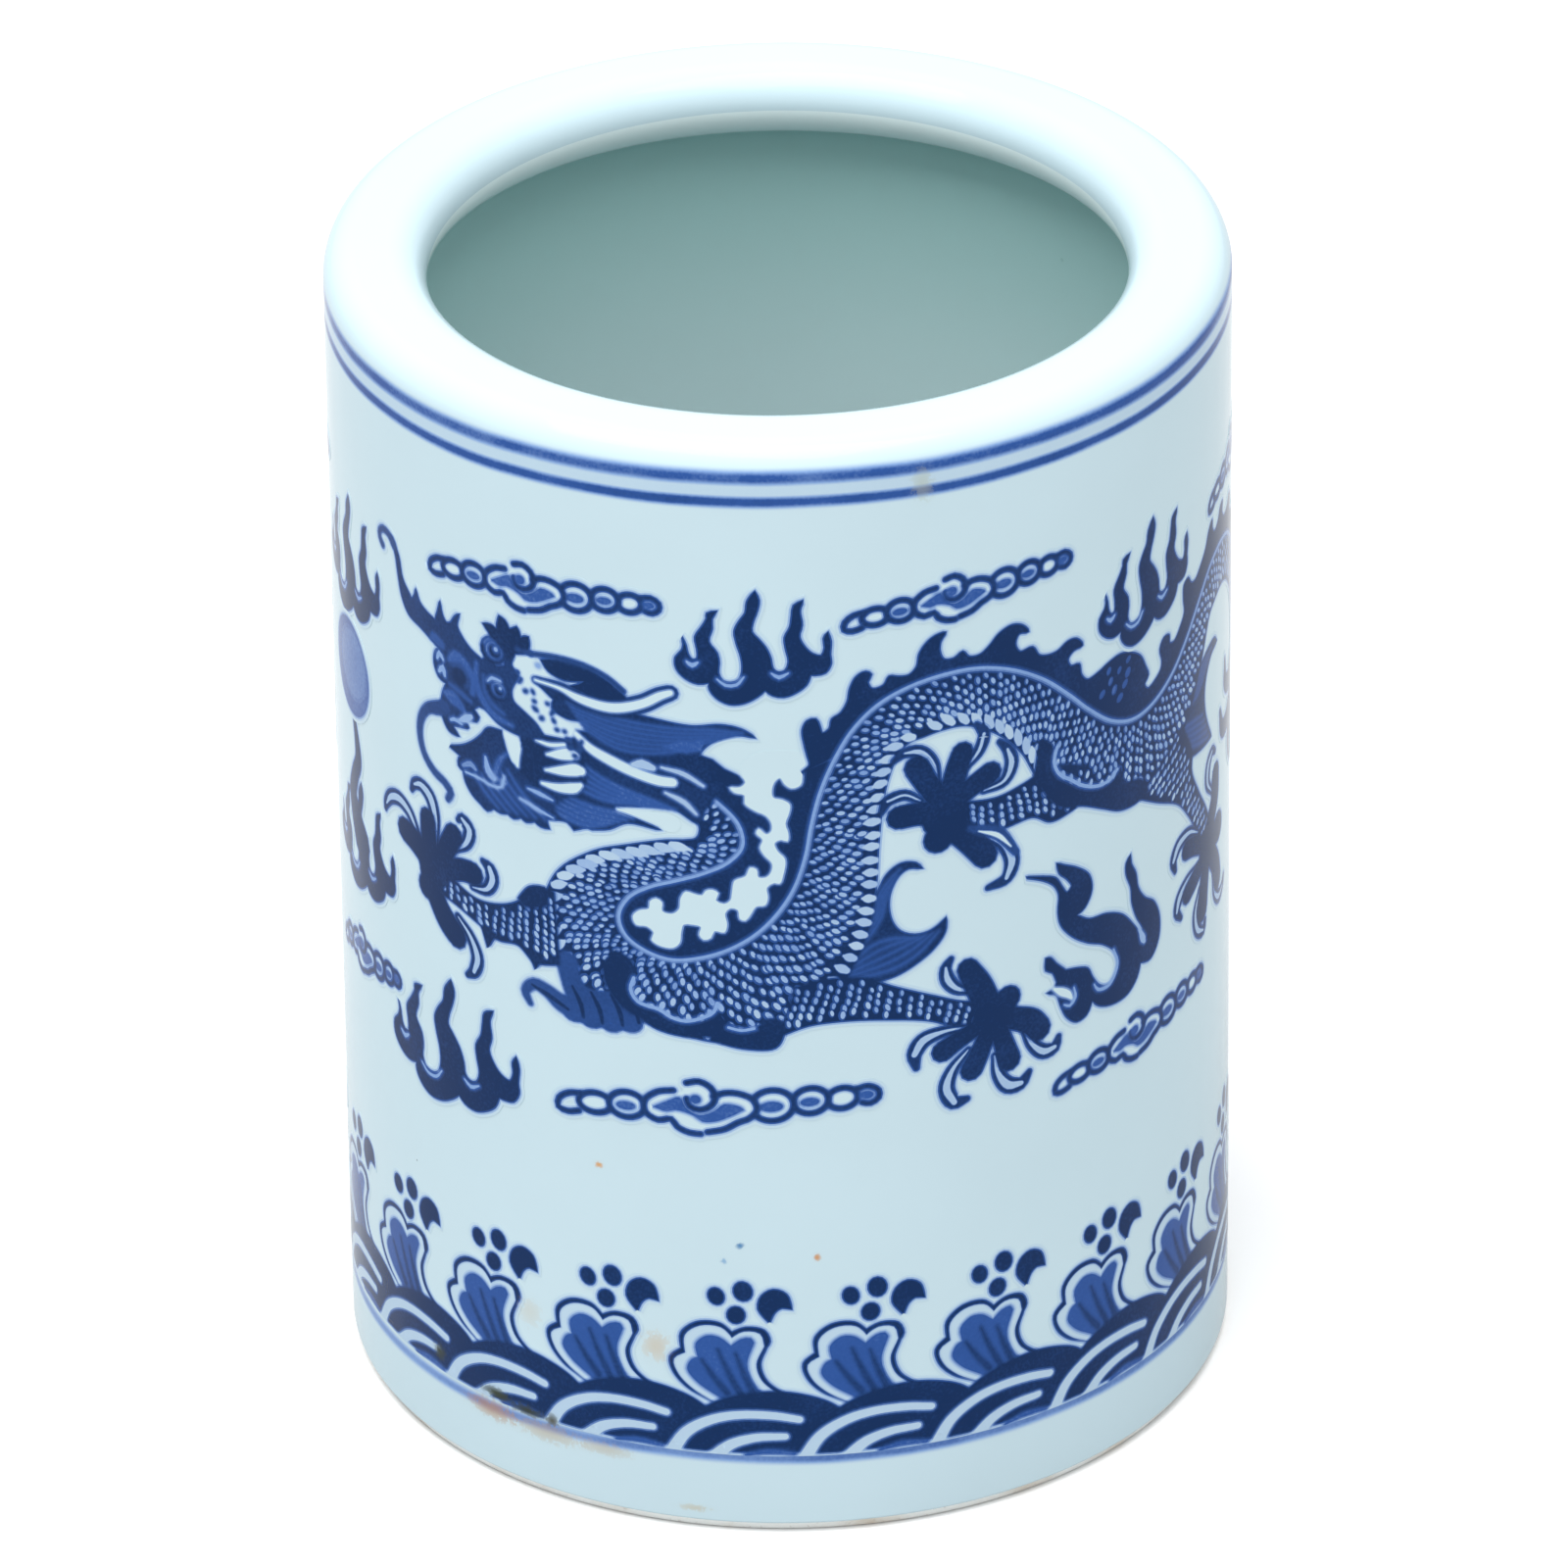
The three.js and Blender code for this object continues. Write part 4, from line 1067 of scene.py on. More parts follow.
def laid(name, verts, chosen, material, layer):
    """A skin of the chosen (triangle, density) rows: a fine front, a coarse back and sides between them."""
    used = sorted({i for triangle, _ in chosen for i in triangle})
    number = {old: new for new, old in enumerate(used)}
    flat = [tuple(verts[i]) for i in used]
    front = [tuple(number[i] for i in triangle) for triangle, _ in chosen]
    edges = {(t[k], t[k - 2]) for t in front for k in range(3)}
    rim = sorted(edge for edge in edges if (edge[1], edge[0]) not in edges)
    behind, back = backing(flat, rim)
    count = len(flat)
    faces = [*front, *[tuple(count + i for i in reversed(t)) for t in back]]
    twin = {i: count + k for k, i in enumerate(sorted({i for edge in rim for i in edge}))}
    faces += [(b, a, twin[a], twin[b]) for a, b in rim]
    rise = OUTER_RADIUS + SKIN_RISE + layer * LAYER_STEP
    places = [on_wall(p[0], p[1], rise) for p in flat]
    places += [on_wall(p[0], p[1], OUTER_RADIUS + SKIN_RISE - SKIN_DEPTH) for p in behind]
    mesh = bpy.data.meshes.new(name)
    mesh.from_pydata(places, [], faces)
    density = mesh.attributes.new("cobalt", "FLOAT", "FACE")
    density.data.foreach_set("value", [value for _, value in chosen] + [0.0] * (len(faces) - len(front)))
    mesh.materials.append(material)
    mesh.shade_smooth()
    normals = [radial(flat[i][0], 1) for face in front for i in face]
    normals += [radial(behind[i][0], -1) for face in back for i in reversed(face)]
    normals += [(0.0, 0.0, 0.0)] * (4 * len(rim))
    mesh.normals_split_custom_set(normals)
    return link(name, mesh)


def backing(flat, rim):
    """Coarse triangles inside a rim of directed edges: (points, triangles). The rim's points come first."""
    corners = sorted({i for edge in rim for i in edge})
    number = {old: new for new, old in enumerate(corners)}
    points = [flat[i] for i in corners]
    edges = [(number[a], number[b]) for a, b in rim]
    low, high = min(p[0] for p in points), max(p[0] for p in points)
    bottom, top = min(p[1] for p in points) - 1, max(p[1] for p in points) + 1
    given = [Vector(p) for p in points]
    walls = []
    for i in range(math.ceil((low + 0.2) / SKIN_STEP), math.floor((high - 0.2) / SKIN_STEP) + 1):
        walls.append((len(given), len(given) + 1))
        given += [Vector((i * SKIN_STEP, bottom)), Vector((i * SKIN_STEP, top))]
    verts, _, triangles, sources, _, _ = delaunay_2d_cdt(given, edges + walls, [], 0, 1e-7, True)
    known = {}
    for new, olds in enumerate(sources):
        for old in olds:
            known[old] = new
    first = {known[k]: k for k in range(len(points))}
    fence = {(known[a], known[b]) for a, b in edges}
    owner = {}
    for t, triangle in enumerate(triangles):
        for k in range(3):
            owner[(triangle[k], triangle[k - 2])] = t
    inside = {owner[edge] for edge in fence if edge in owner}
    reach = list(inside)
    while reach:
        triangle = triangles[reach.pop()]
        for k in range(3):
            edge = (triangle[k], triangle[k - 2])
            beyond = owner.get((edge[1], edge[0]))
            if edge not in fence and beyond is not None and beyond not in inside:
                inside.add(beyond)
                reach.append(beyond)
    result = []
    for t in sorted(inside):
        row = []
        for i in triangles[t]:
            if i not in first:
                first[i] = len(points)
                points.append(tuple(verts[i]))
            row.append(first[i])
        result.append(tuple(row))
    return points, result


def radial(x, sign):
    angle = x / OUTER_RADIUS
    return (sign * math.sin(angle), -sign * math.cos(angle), 0.0)


def link(name, mesh):
    piece = bpy.data.objects.new(name, mesh)
    bpy.context.scene.collection.objects.link(piece)
    return piece


# Turned pieces.

TURN_STEPS = 256


def arc(radius, height, size, start, end, steps=10, hollow=False):
    """A quarter of the profile: (radius, height, normal out, normal up) rows. Angles are in quarter turns."""
    rows = []
    for i in range(steps + 1):
        angle = (start + (end - start) * i / steps) * math.pi / 2
        c, s = math.cos(angle), math.sin(angle)
        side = -1 if hollow else 1
        rows.append((radius + size * c, height + size * s, side * c, side * s))
    return rows


def turned(name, runs, material):
    """Turns a closed profile about the axis. Each run is smooth, and runs meet at sharp edges."""
    places, faces, normals = [], [], []
    rings = {}

    def ring(radius, height):
        key = (round(radius, 5), round(height, 5))
        if key not in rings:
            rings[key] = len(places)
            around = 1 if radius < 1e-6 else TURN_STEPS
            for i in range(around):
                angle = 2 * math.pi * i / TURN_STEPS
                places.append((radius * math.sin(angle) * MM, -radius * math.cos(angle) * MM, height * MM))
        return rings[key], radius < 1e-6

    for run in runs:
        for a, b in zip(run, run[1:]):
            (first, a_pole), (second, b_pole) = ring(*a[:2]), ring(*b[:2])
            for i in range(TURN_STEPS):
                j = (i + 1) % TURN_STEPS
                corners = [(second, b, j), (second, b, i), (first, a, i), (first, a, j)]
                if a_pole:
                    corners = [(second, b, j), (second, b, i), (first, a, i)]
                if b_pole:
                    corners = [(second, b, i), (first, a, i), (first, a, j)]
                face, bend = [], []
                for start, row, k in corners:
                    pole = row[0] < 1e-6
                    face.append(start if pole else start + k)
                    angle = 2 * math.pi * (i + 0.5 if pole else k) / TURN_STEPS
                    bend.append((row[2] * math.sin(angle), -row[2] * math.cos(angle), row[3]))
                faces.append(face)
                normals += bend
    mesh = bpy.data.meshes.new(name)
    mesh.from_pydata(places, [], faces)
    mesh.materials.append(material)
    mesh.shade_smooth()
    mesh.normals_split_custom_set(normals)
    return link(name, mesh)


def straight(*points):
    """A straight run between points, with its normal on the right of the way it goes."""
    (r0, z0), (r1, z1) = points[0], points[-1]
    size = math.hypot(r1 - r0, z1 - z0)
    normal = ((z1 - z0) / size, -(r1 - r0) / size)
    return [(r, z, *normal) for r, z in points]


# Materials.


def tree_group(name, inputs, outputs):
    """An empty shader group with named sockets."""
    group = bpy.data.node_groups.new(name, "ShaderNodeTree")
    for label, kind, value in inputs:
        socket = group.interface.new_socket(label, in_out="INPUT", socket_type=kind)
        socket.default_value = value
    for label, kind in outputs:
        group.interface.new_socket(label, in_out="OUTPUT", socket_type=kind)
    return group, group.nodes.new("NodeGroupInput"), group.nodes.new("NodeGroupOutput")


def put(tree, kind, inputs=(), **settings):
    """Adds a node; inputs maps a socket to a value or to another node's output."""
    node = tree.nodes.new(kind)
    for label, value in settings.items():
        setattr(node, label, value)
    for socket, value in dict(inputs).items():
        if isinstance(value, bpy.types.NodeSocket):
            tree.links.new(value, node.inputs[socket])
        else:
            node.inputs[socket].default_value = value
    return node


def maths(tree, operation, a, b=0.0, clamp=False):
    return put(tree, "ShaderNodeMath", {0: a, 1: b}, operation=operation, use_clamp=clamp).outputs[0]


def ease(tree, value, low, high, to_low=0.0, to_high=1.0):
    """Smoothly maps value from low..high to to_low..to_high."""
    node = put(
        tree,
        "ShaderNodeMapRange",
        {"Value": value, "From Min": low, "From Max": high, "To Min": to_low, "To Max": to_high},
        interpolation_type="SMOOTHSTEP",
    )
    return node.outputs["Result"]


def mixed(tree, share, a, b, blend="MIX"):
    node = put(tree, "ShaderNodeMix", {0: share, 6: a, 7: b}, data_type="RGBA", blend_type=blend)
    return node.outputs[2]


def glaze_group():
    """The glass itself: its tint drifts slowly, and it holds a few specks of iron and pinholes."""
    group, given, result = tree_group(
        "Porcelain glaze",
        (
            ("Tint", "NodeSocketColor", (0.6, 0.72, 0.76, 1)),
            ("Drift", "NodeSocketFloat", 0.04),
            ("Iron", "NodeSocketFloat", 0.1),
        ),
        (("Colour", "NodeSocketColor"), ("Roughness", "NodeSocketFloat"), ("Height", "NodeSocketFloat")),
    )
    where = put(group, "ShaderNodeTexCoord").outputs["Object"]
    cloud = put(group, "ShaderNodeTexNoise", {"Vector": where, "Scale": 38.0, "Detail": 3.0}).outputs["Fac"]
    drift = maths(group, "MULTIPLY_ADD", maths(group, "SUBTRACT", cloud, 0.5), given.outputs["Drift"])
    drift.node.inputs[2].default_value = 1.0
    value = put(group, "ShaderNodeCombineColor", {0: drift, 1: drift, 2: drift}).outputs[0]
    tint = mixed(group, 1.0, given.outputs["Tint"], value, "MULTIPLY")
    cells = put(group, "ShaderNodeTexVoronoi", {"Vector": where, "Scale": 95.0})
    lot = put(group, "ShaderNodeSeparateColor", {0: cells.outputs["Color"]})
    size = maths(group, "MULTIPLY", lot.outputs[1], 0.03)
    near = maths(group, "LESS_THAN", cells.outputs["Distance"], size)
    chosen = maths(group, "LESS_THAN", lot.outputs[0], given.outputs["Iron"])
    speck = maths(group, "MULTIPLY", near, chosen)
    speck_tone = mixed(group, lot.outputs[2], (0.10, 0.065, 0.04, 1), (0.10, 0.17, 0.25, 1))
    colour = mixed(group, maths(group, "MULTIPLY", speck, 0.75), tint, speck_tone)
    group.links.new(colour, result.inputs["Colour"])
    fine = put(group, "ShaderNodeTexNoise", {"Vector": where, "Scale": 260.0, "Detail": 2.0}).outputs["Fac"]
    group.links.new(ease(group, fine, 0.3, 0.7, 0.07, 0.12), result.inputs["Roughness"])
    ripple = put(group, "ShaderNodeTexNoise", {"Vector": where, "Scale": 170.0, "Detail": 1.0}).outputs["Fac"]
    group.links.new(ripple, result.inputs["Height"])
    return group


def cobalt_group():
    """Cobalt under the glaze: how its colour deepens as it lies more densely."""
    group, given, result = tree_group(
        "Underglaze cobalt",
        (
            ("Density", "NodeSocketFloat", 0.0),
            ("Ground", "NodeSocketColor", (0.6, 0.72, 0.76, 1)),
            ("Pale", "NodeSocketColor", (0.25, 0.4, 0.7, 1)),
            ("Wash", "NodeSocketColor", (0.06, 0.12, 0.4, 1)),
            ("Deep", "NodeSocketColor", (0.015, 0.03, 0.12, 1)),
            ("Mottle", "NodeSocketFloat", 0.1),
        ),
        (("Colour", "NodeSocketColor"),),
    )
    where = put(group, "ShaderNodeTexCoord").outputs["Object"]
    broad = put(group, "ShaderNodeTexNoise", {"Vector": where, "Scale": 160.0, "Detail": 3.0}).outputs["Fac"]
    grain = put(group, "ShaderNodeTexNoise", {"Vector": where, "Scale": 2600.0, "Detail": 1.0}).outputs["Fac"]
    drift = maths(group, "ADD", maths(group, "SUBTRACT", broad, 0.5), maths(group, "SUBTRACT", grain, 0.5))
    sway = maths(group, "MULTIPLY_ADD", drift, given.outputs["Mottle"])
    sway.node.inputs[2].default_value = 1.0
    density = maths(group, "MULTIPLY", given.outputs["Density"], sway, clamp=True)
    colour = mixed(group, ease_linear(group, density, BARE, PALE),
                   given.outputs["Ground"], given.outputs["Pale"])
    colour = mixed(group, ease_linear(group, density, PALE, WASH), colour, given.outputs["Wash"])
    colour = mixed(group, ease_linear(group, density, WASH, DEEP), colour, given.outputs["Deep"])
    group.links.new(colour, result.inputs["Colour"])
    return group


def ease_linear(tree, value, low, high):
    node = put(tree, "ShaderNodeMapRange", {"Value": value, "From Min": low, "From Max": high})
    return node.outputs["Result"]


def ring_group():
    """A line turned on the wheel: its density at this height, with soft edges and an unsteady load."""
    group, given, result = tree_group(
        "Wheel line",
        (
            ("Height", "NodeSocketFloat", 0.1),
            ("Width", "NodeSocketFloat", 0.001),
            ("Soft", "NodeSocketFloat", 0.0004),
            ("Density", "NodeSocketFloat", 0.6),
        ),
        (("Density", "NodeSocketFloat"),),
    )
    where = put(group, "ShaderNodeTexCoord").outputs["Object"]
    axes = put(group, "ShaderNodeSeparateXYZ", {0: where})
    height = axes.outputs["Z"]
    reach = maths(group, "POWER", axes.outputs["X"], 2.0)
    reach = maths(group, "ADD", reach, maths(group, "POWER", axes.outputs["Y"], 2.0))
    on_outside = maths(group, "GREATER_THAN", reach, (LINES_FROM * OUTER_RADIUS * MM) ** 2)
    wander = put(group, "ShaderNodeTexNoise", {"Vector": where, "Scale": 45.0, "Detail": 2.0}).outputs["Fac"]
    lifted = maths(group, "MULTIPLY_ADD", maths(group, "SUBTRACT", wander, 0.5), 0.0005)
    sag = ease(group, axes.outputs["X"], -0.048, -0.005, 0.0009, 0.0)
    group.links.new(maths(group, "ADD", height, sag), lifted.node.inputs[2])
    away = maths(group, "ABSOLUTE", maths(group, "SUBTRACT", lifted, given.outputs["Height"]))
    half = maths(group, "MULTIPLY", given.outputs["Width"], 0.5)
    inner = maths(group, "SUBTRACT", half, given.outputs["Soft"])
    outer = maths(group, "ADD", half, given.outputs["Soft"])
    body = ease(group, away, inner, outer, 1.0, 0.0)
    load = put(group, "ShaderNodeTexNoise", {"Vector": where, "Scale": 60.0, "Detail": 4.0}).outputs["Fac"]
    strength = ease(group, load, 0.25, 0.75, 0.8, 1.15)
    density = maths(group, "MULTIPLY", maths(group, "MULTIPLY", body, strength), given.outputs["Density"])
    group.links.new(maths(group, "MULTIPLY", density, on_outside), result.inputs["Density"])
    return group


def stain_group():
    """A kiln flaw: brown grit and a scorched bloom round one place on the glaze."""
    group, given, result = tree_group(
        "Kiln stain",
        (
            ("Colour", "NodeSocketColor", (1, 1, 1, 1)),
            ("Place", "NodeSocketVector", (0, 0, 0)),
            ("Stretch", "NodeSocketVector", (1, 1, 1)),
            ("Reach", "NodeSocketFloat", 0.004),
            ("Tone", "NodeSocketColor", (0.16, 0.1, 0.05, 1)),
            ("Cover", "NodeSocketFloat", 0.6),
        ),
        (("Colour", "NodeSocketColor"),),
    )
    where = put(group, "ShaderNodeTexCoord").outputs["Object"]
    offset = put(group, "ShaderNodeVectorMath", {0: where, 1: given.outputs["Place"]}, operation="SUBTRACT")
    shaped = put(group, "ShaderNodeVectorMath", {0: offset.outputs[0],
        1: given.outputs["Stretch"]}, operation="MULTIPLY")
    away = put(group, "ShaderNodeVectorMath", {0: shaped.outputs[0]}, operation="LENGTH").outputs["Value"]
    near = ease(group, maths(group, "DIVIDE", away, given.outputs["Reach"]), 0.0, 1.0, 1.0, 0.0)
    grit = put(group, "ShaderNodeTexNoise", {"Vector": where, "Scale": 1400.0, "Detail": 4.0,
                                             "Roughness": 0.7})
    patch = ease(group, maths(group, "ADD", grit.outputs["Fac"], maths(group, "MULTIPLY", near, 0.38)),
                 0.62, 0.73)
    cover = maths(group, "MULTIPLY", maths(group, "MULTIPLY", patch, near),
                  given.outputs["Cover"], clamp=True)
    bloom = maths(group, "MULTIPLY", near, 0.16)
    both = maths(group, "MAXIMUM", cover, maths(group, "MULTIPLY", bloom, given.outputs["Cover"]))
    group.links.new(mixed(group, both, given.outputs["Colour"], given.outputs["Tone"]),
                    result.inputs["Colour"])
    return group


def grouped(tree, group, inputs):
    node = put(tree, "ShaderNodeGroup", (), node_tree=group)
    for socket, value in inputs.items():
        if isinstance(value, bpy.types.NodeSocket):
            tree.links.new(value, node.inputs[socket])
        else:
            node.inputs[socket].default_value = value
    return node


def empty_material(name, **fixed):
    """A material with one Principled shader whose fixed sockets hold plain values."""
    material = bpy.data.materials.new(name)
    material.use_nodes = True
    shader = material.node_tree.nodes["Principled BSDF"]
    for socket, value in fixed.items():
        shader.inputs[socket.replace("_", " ")].default_value = value
    return material, material.node_tree, shader


# Kiln flaws: x round the wall, height, reach, stretch along x and z, tone, cover.
STAINS = (
    (-45.4, 12.6, 1.9, (1.0, 1.0), (0.03, 0.04, 0.03), 1.0),
    (-36.0, 11.2, 3.4, (0.8, 2.4), (0.035, 0.045, 0.03), 1.0),
    (-31.5, 10.6, 3.6, (0.8, 2.6), (0.03, 0.04, 0.035), 1.0),
    (-28.2, 10.4, 1.6, (1.0, 1.0), (0.05, 0.045, 0.02), 0.9),
    (-36.8, 8.8, 5.0, (0.7, 2.2), (0.38, 0.20, 0.08), 0.7),
    (-29.0, 8.6, 6.0, (0.7, 2.6), (0.40, 0.28, 0.14), 0.5),
    (-21.5, 8.6, 4.0, (0.7, 2.4), (0.40, 0.30, 0.17), 0.45),
    (-15.2, 23.4, 3.4, (1.1, 0.9), (0.50, 0.36, 0.20), 0.5),
    (-31.0, 23.8, 3.0, (1.0, 0.9), (0.50, 0.40, 0.25), 0.3),
    (15.5, 131.6, 3.0, (1.3, 0.8), (0.36, 0.38, 0.26), 0.45),
    (-11.0, 2.8, 2.4, (0.7, 3.0), (0.45, 0.36, 0.20), 0.5),
    (-21.6, 45.6, 1.0, (1.0, 1.3), (0.55, 0.27, 0.08), 0.9),
    (3.0, 36.0, 0.9, (1.2, 1.0), (0.50, 0.22, 0.06), 0.9),
    (-5.5, 37.5, 0.8, (1.0, 1.0), (0.03, 0.16, 0.36), 0.9),
    (-7.3, 35.4, 0.7, (1.0, 1.0), (0.12, 0.28, 0.50), 0.7),
    (-144.6, 136.6, 0.9, (1.0, 1.0), (0.30, 0.13, 0.05), 1.0),
    (118.5, 135.5, 1.0, (1.0, 1.0), (0.28, 0.12, 0.05), 1.0),
)


class Finishes:
    """The pot's materials, made once and shared by its pieces."""

    made = {}


def glaze_finish(name, tint, rings=False, stains=False, iron=0.1, skin_density=False, lip_shade_and_light=False):
    """A glossy glaze over bare clay, over wheel lines, or over a painted skin."""
    colours = bpy.context.scene.brush_pot_colours
    groups = Finishes.made
    material, tree, shader = empty_material(name, IOR=1.5, Specular_IOR_Level=0.11)
    glaze = grouped(tree, groups["glaze"], {"Tint": tint, "Drift": 0.07, "Iron": iron})
    colour = glaze.outputs["Colour"]
    if lip_shade_and_light:
        where = put(tree, "ShaderNodeTexCoord").outputs["Object"]
        height = put(tree, "ShaderNodeSeparateXYZ", {0: where}).outputs["Z"]
        # Painted shade: darker and greener towards the underside of the lip, with a little of the green of
        # glaze pooled there.
        colour = mixed(tree, ease(tree, height, *SHADE_UNDER_LIP), colour, (*colours.glaze_shade_under_lip, 1))
        # Painted light: the lip itself is painted lighter, where it catches the light.
        colour = mixed(tree, ease(tree, height, *LIGHT_ON_LIP), colour, (*colours.glaze_light_on_lip, 1))
    if rings:
        total = None
        for height, width, soft, density in rings:
            line = grouped(
                tree, groups["ring"],
                {"Height": height * MM, "Width": width * MM, "Soft": soft * MM, "Density": density},
            ).outputs["Density"]
            total = line if total is None else maths(tree, "MAXIMUM", total, line)
    if skin_density:
        total = put(tree, "ShaderNodeAttribute", (),
                    attribute_name="cobalt", attribute_type="GEOMETRY").outputs["Fac"]
    if rings or skin_density:
        colour = grouped(
            tree, groups["cobalt"],
            {
                "Density": total,
                "Ground": colour,
                "Pale": (*colours.pale, 1),
                "Wash": (*colours.wash, 1),
                "Deep": (*colours.deep, 1),
                "Mottle": colours.mottle,
            },
        ).outputs["Colour"]
    if stains:
        for x, height, reach, (wide, tall), tone, cover in STAINS:
            rise = max(0.0, height - HEIGHT + SHOULDER)
            radius = OUTER_RADIUS - SHOULDER + math.sqrt(SHOULDER**2 - rise**2)
            place = on_wall(x, height, radius)
            colour = grouped(
                tree, groups["stain"],
                {
                    "Colour": colour,
                    "Place": place,
                    "Stretch": (wide, wide, tall),
                    "Reach": reach * MM,
                    "Tone": (*tone, 1),
                    "Cover": cover,
                },
            ).outputs["Colour"]
    tree.links.new(colour, shader.inputs["Base Color"])
    tree.links.new(glaze.outputs["Roughness"], shader.inputs["Roughness"])
    bump = put(tree, "ShaderNodeBump", {"Strength": 0.25, "Distance": 0.00012,
                                        "Height": glaze.outputs["Height"]})
    tree.links.new(bump.outputs["Normal"], shader.inputs["Normal"])
    return material


def biscuit_finish():
    """Bare fired clay: warm white, dry and finely gritty, and browner where it stood in the kiln."""
    colours = bpy.context.scene.brush_pot_colours
    material, tree, shader = empty_material("Bare porcelain clay", Roughness=0.85)
    where = put(tree, "ShaderNodeTexCoord").outputs["Object"]
    grit = put(tree, "ShaderNodeTexNoise", {"Vector": where, "Scale": 1500.0, "Detail": 4.0}).outputs["Fac"]
    scorch = put(tree, "ShaderNodeTexNoise", {"Vector": where, "Scale": 90.0, "Detail": 5.0}).outputs["Fac"]
    clay = (*colours.clay, 1)
    warm = mixed(tree, ease(tree, scorch, 0.45, 0.75), clay, (0.60, 0.52, 0.42, 1))
    dark = mixed(tree, ease(tree, grit, 0.6, 0.8, 0.0, 0.35), warm, (0.25, 0.18, 0.12, 1))
    tree.links.new(dark, shader.inputs["Base Color"])
    bump = put(tree, "ShaderNodeBump", {"Strength": 0.5, "Distance": 0.00015, "Height": grit})
    tree.links.new(bump.outputs["Normal"], shader.inputs["Normal"])
    return material


def finish(name):
    """A shared material, made the first time that it is asked for."""
    made = Finishes.made
    if not made:
        made["glaze"], made["cobalt"] = glaze_group(), cobalt_group()
        made["ring"], made["stain"] = ring_group(), stain_group()
        colours = bpy.context.scene.brush_pot_colours
        lines = bpy.context.scene.brush_pot_lines
        outside = (*colours.glaze, 1)
        rings = (
            (lines.upper_line, lines.line_width * 1.45, 0.55, 0.56),
            (lines.lower_line, lines.line_width * 1.2, 0.45, 0.64),
            ((lines.upper_line + lines.lower_line) / 2, lines.line_width * 3.4, 1.2, 0.07),
            (lines.base_line, lines.line_width * 1.2, 0.5, 0.42),
        )
        made["outside"] = glaze_finish("Glaze outside", outside, rings=rings, stains=True)
        made["painted"] = glaze_finish("Glaze over cobalt painting", outside, stains=True, skin_density=True)
        made["inside"] = glaze_finish("Glaze inside", (*colours.glaze_inside, 1), iron=0.2, lip_shade_and_light=True)
        made["clay"] = biscuit_finish()
    return made[name]


# Settings.


class BrushPotColours(PropertyGroup):
    """Colours of the ware, as linear light."""

    glaze: FloatVectorProperty(
        name="Glaze", description="Tint of the clear glaze over white clay", subtype="COLOR",
        default=(0.492, 0.625, 0.682), min=0, max=1)
    glaze_inside: FloatVectorProperty(
        name="Glaze inside", description="Tint where the glaze pools in the well", subtype="COLOR",
        default=(0.56, 0.69, 0.705), min=0, max=1)
    # Painted shade under the lip, with a little of the green of glaze pooled there.
    glaze_shade_under_lip: FloatVectorProperty(
        name="Glaze pooled", description="Tint of the thick glaze under the lip", subtype="COLOR",
        default=(0.34, 0.54, 0.53), min=0, max=1)
    # Painted light on the lip: a lighter tint where the lip catches the light.
    glaze_light_on_lip: FloatVectorProperty(
        name="Glaze on the lip", description="Tint of the thin glaze on the lip", subtype="COLOR",
        default=(0.68, 0.79, 0.80), min=0, max=1)
    pale: FloatVectorProperty(
        name="Pale cobalt", description="Thin cobalt", subtype="COLOR", default=(0.19, 0.315, 0.58),
        min=0, max=1)
    wash: FloatVectorProperty(
        name="Cobalt wash", description="Filled washes of cobalt", subtype="COLOR",
        default=(0.022, 0.078, 0.29), min=0, max=1)
    deep: FloatVectorProperty(
        name="Deep cobalt", description="Full strokes of cobalt", subtype="COLOR",
        default=(0.001, 0.02, 0.086), min=0, max=1)
    mottle: FloatProperty(
        name="Mottle", description="How unevenly the cobalt lies", default=0.22, min=0, max=1,
        subtype="FACTOR")
    clay: FloatVectorProperty(
        name="Clay", description="Bare fired clay", subtype="COLOR", default=(0.80, 0.82, 0.80), min=0, max=1)


class BrushPotLines(PropertyGroup):
    """The lines turned on the wheel, in millimetres above the foot."""

    upper_line: FloatProperty(name="Upper line", description="Height of the line under the shoulder",
                              default=133.7)
    lower_line: FloatProperty(name="Lower line", description="Height of the line below it", default=130.8)
    base_line: FloatProperty(name="Base line", description="Height of the line under the waves", default=9.9)
    line_width: FloatProperty(name="Line width", description="Width of the lines", default=1.0, min=0.1)


class BrushPotStage(PropertyGroup):
    """Camera, light and floor."""

    distance: FloatProperty(
        name="Distance", description="From the camera to the pot", default=1.631, min=0.2, subtype="DISTANCE",
        unit="LENGTH")
    elevation: FloatProperty(
        name="Elevation", description="Of the camera above the horizon", default=math.radians(29.61),
        subtype="ANGLE", unit="ROTATION")
    roll: FloatProperty(
        name="Roll", description="Of the camera about its own axis", default=math.radians(-0.714),
        subtype="ANGLE", unit="ROTATION")
    lens: FloatProperty(name="Lens", description="Focal length in millimetres", default=333.8, min=10)
    surround: FloatProperty(name="Surround", description="Brightness of the white surround", default=0.8,
                            min=0)
    top_light: FloatProperty(name="Top light", description="Power of the overhead light in watts",
                             default=23.0, min=0)


# Operators.


def hand_over(piece, slot, *nodes):
    """The piece rides on the pot and stands for its CAD nodes, which are hidden. The slot is not used."""
    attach(piece, BODY)
    if nodes:
        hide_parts(*nodes)


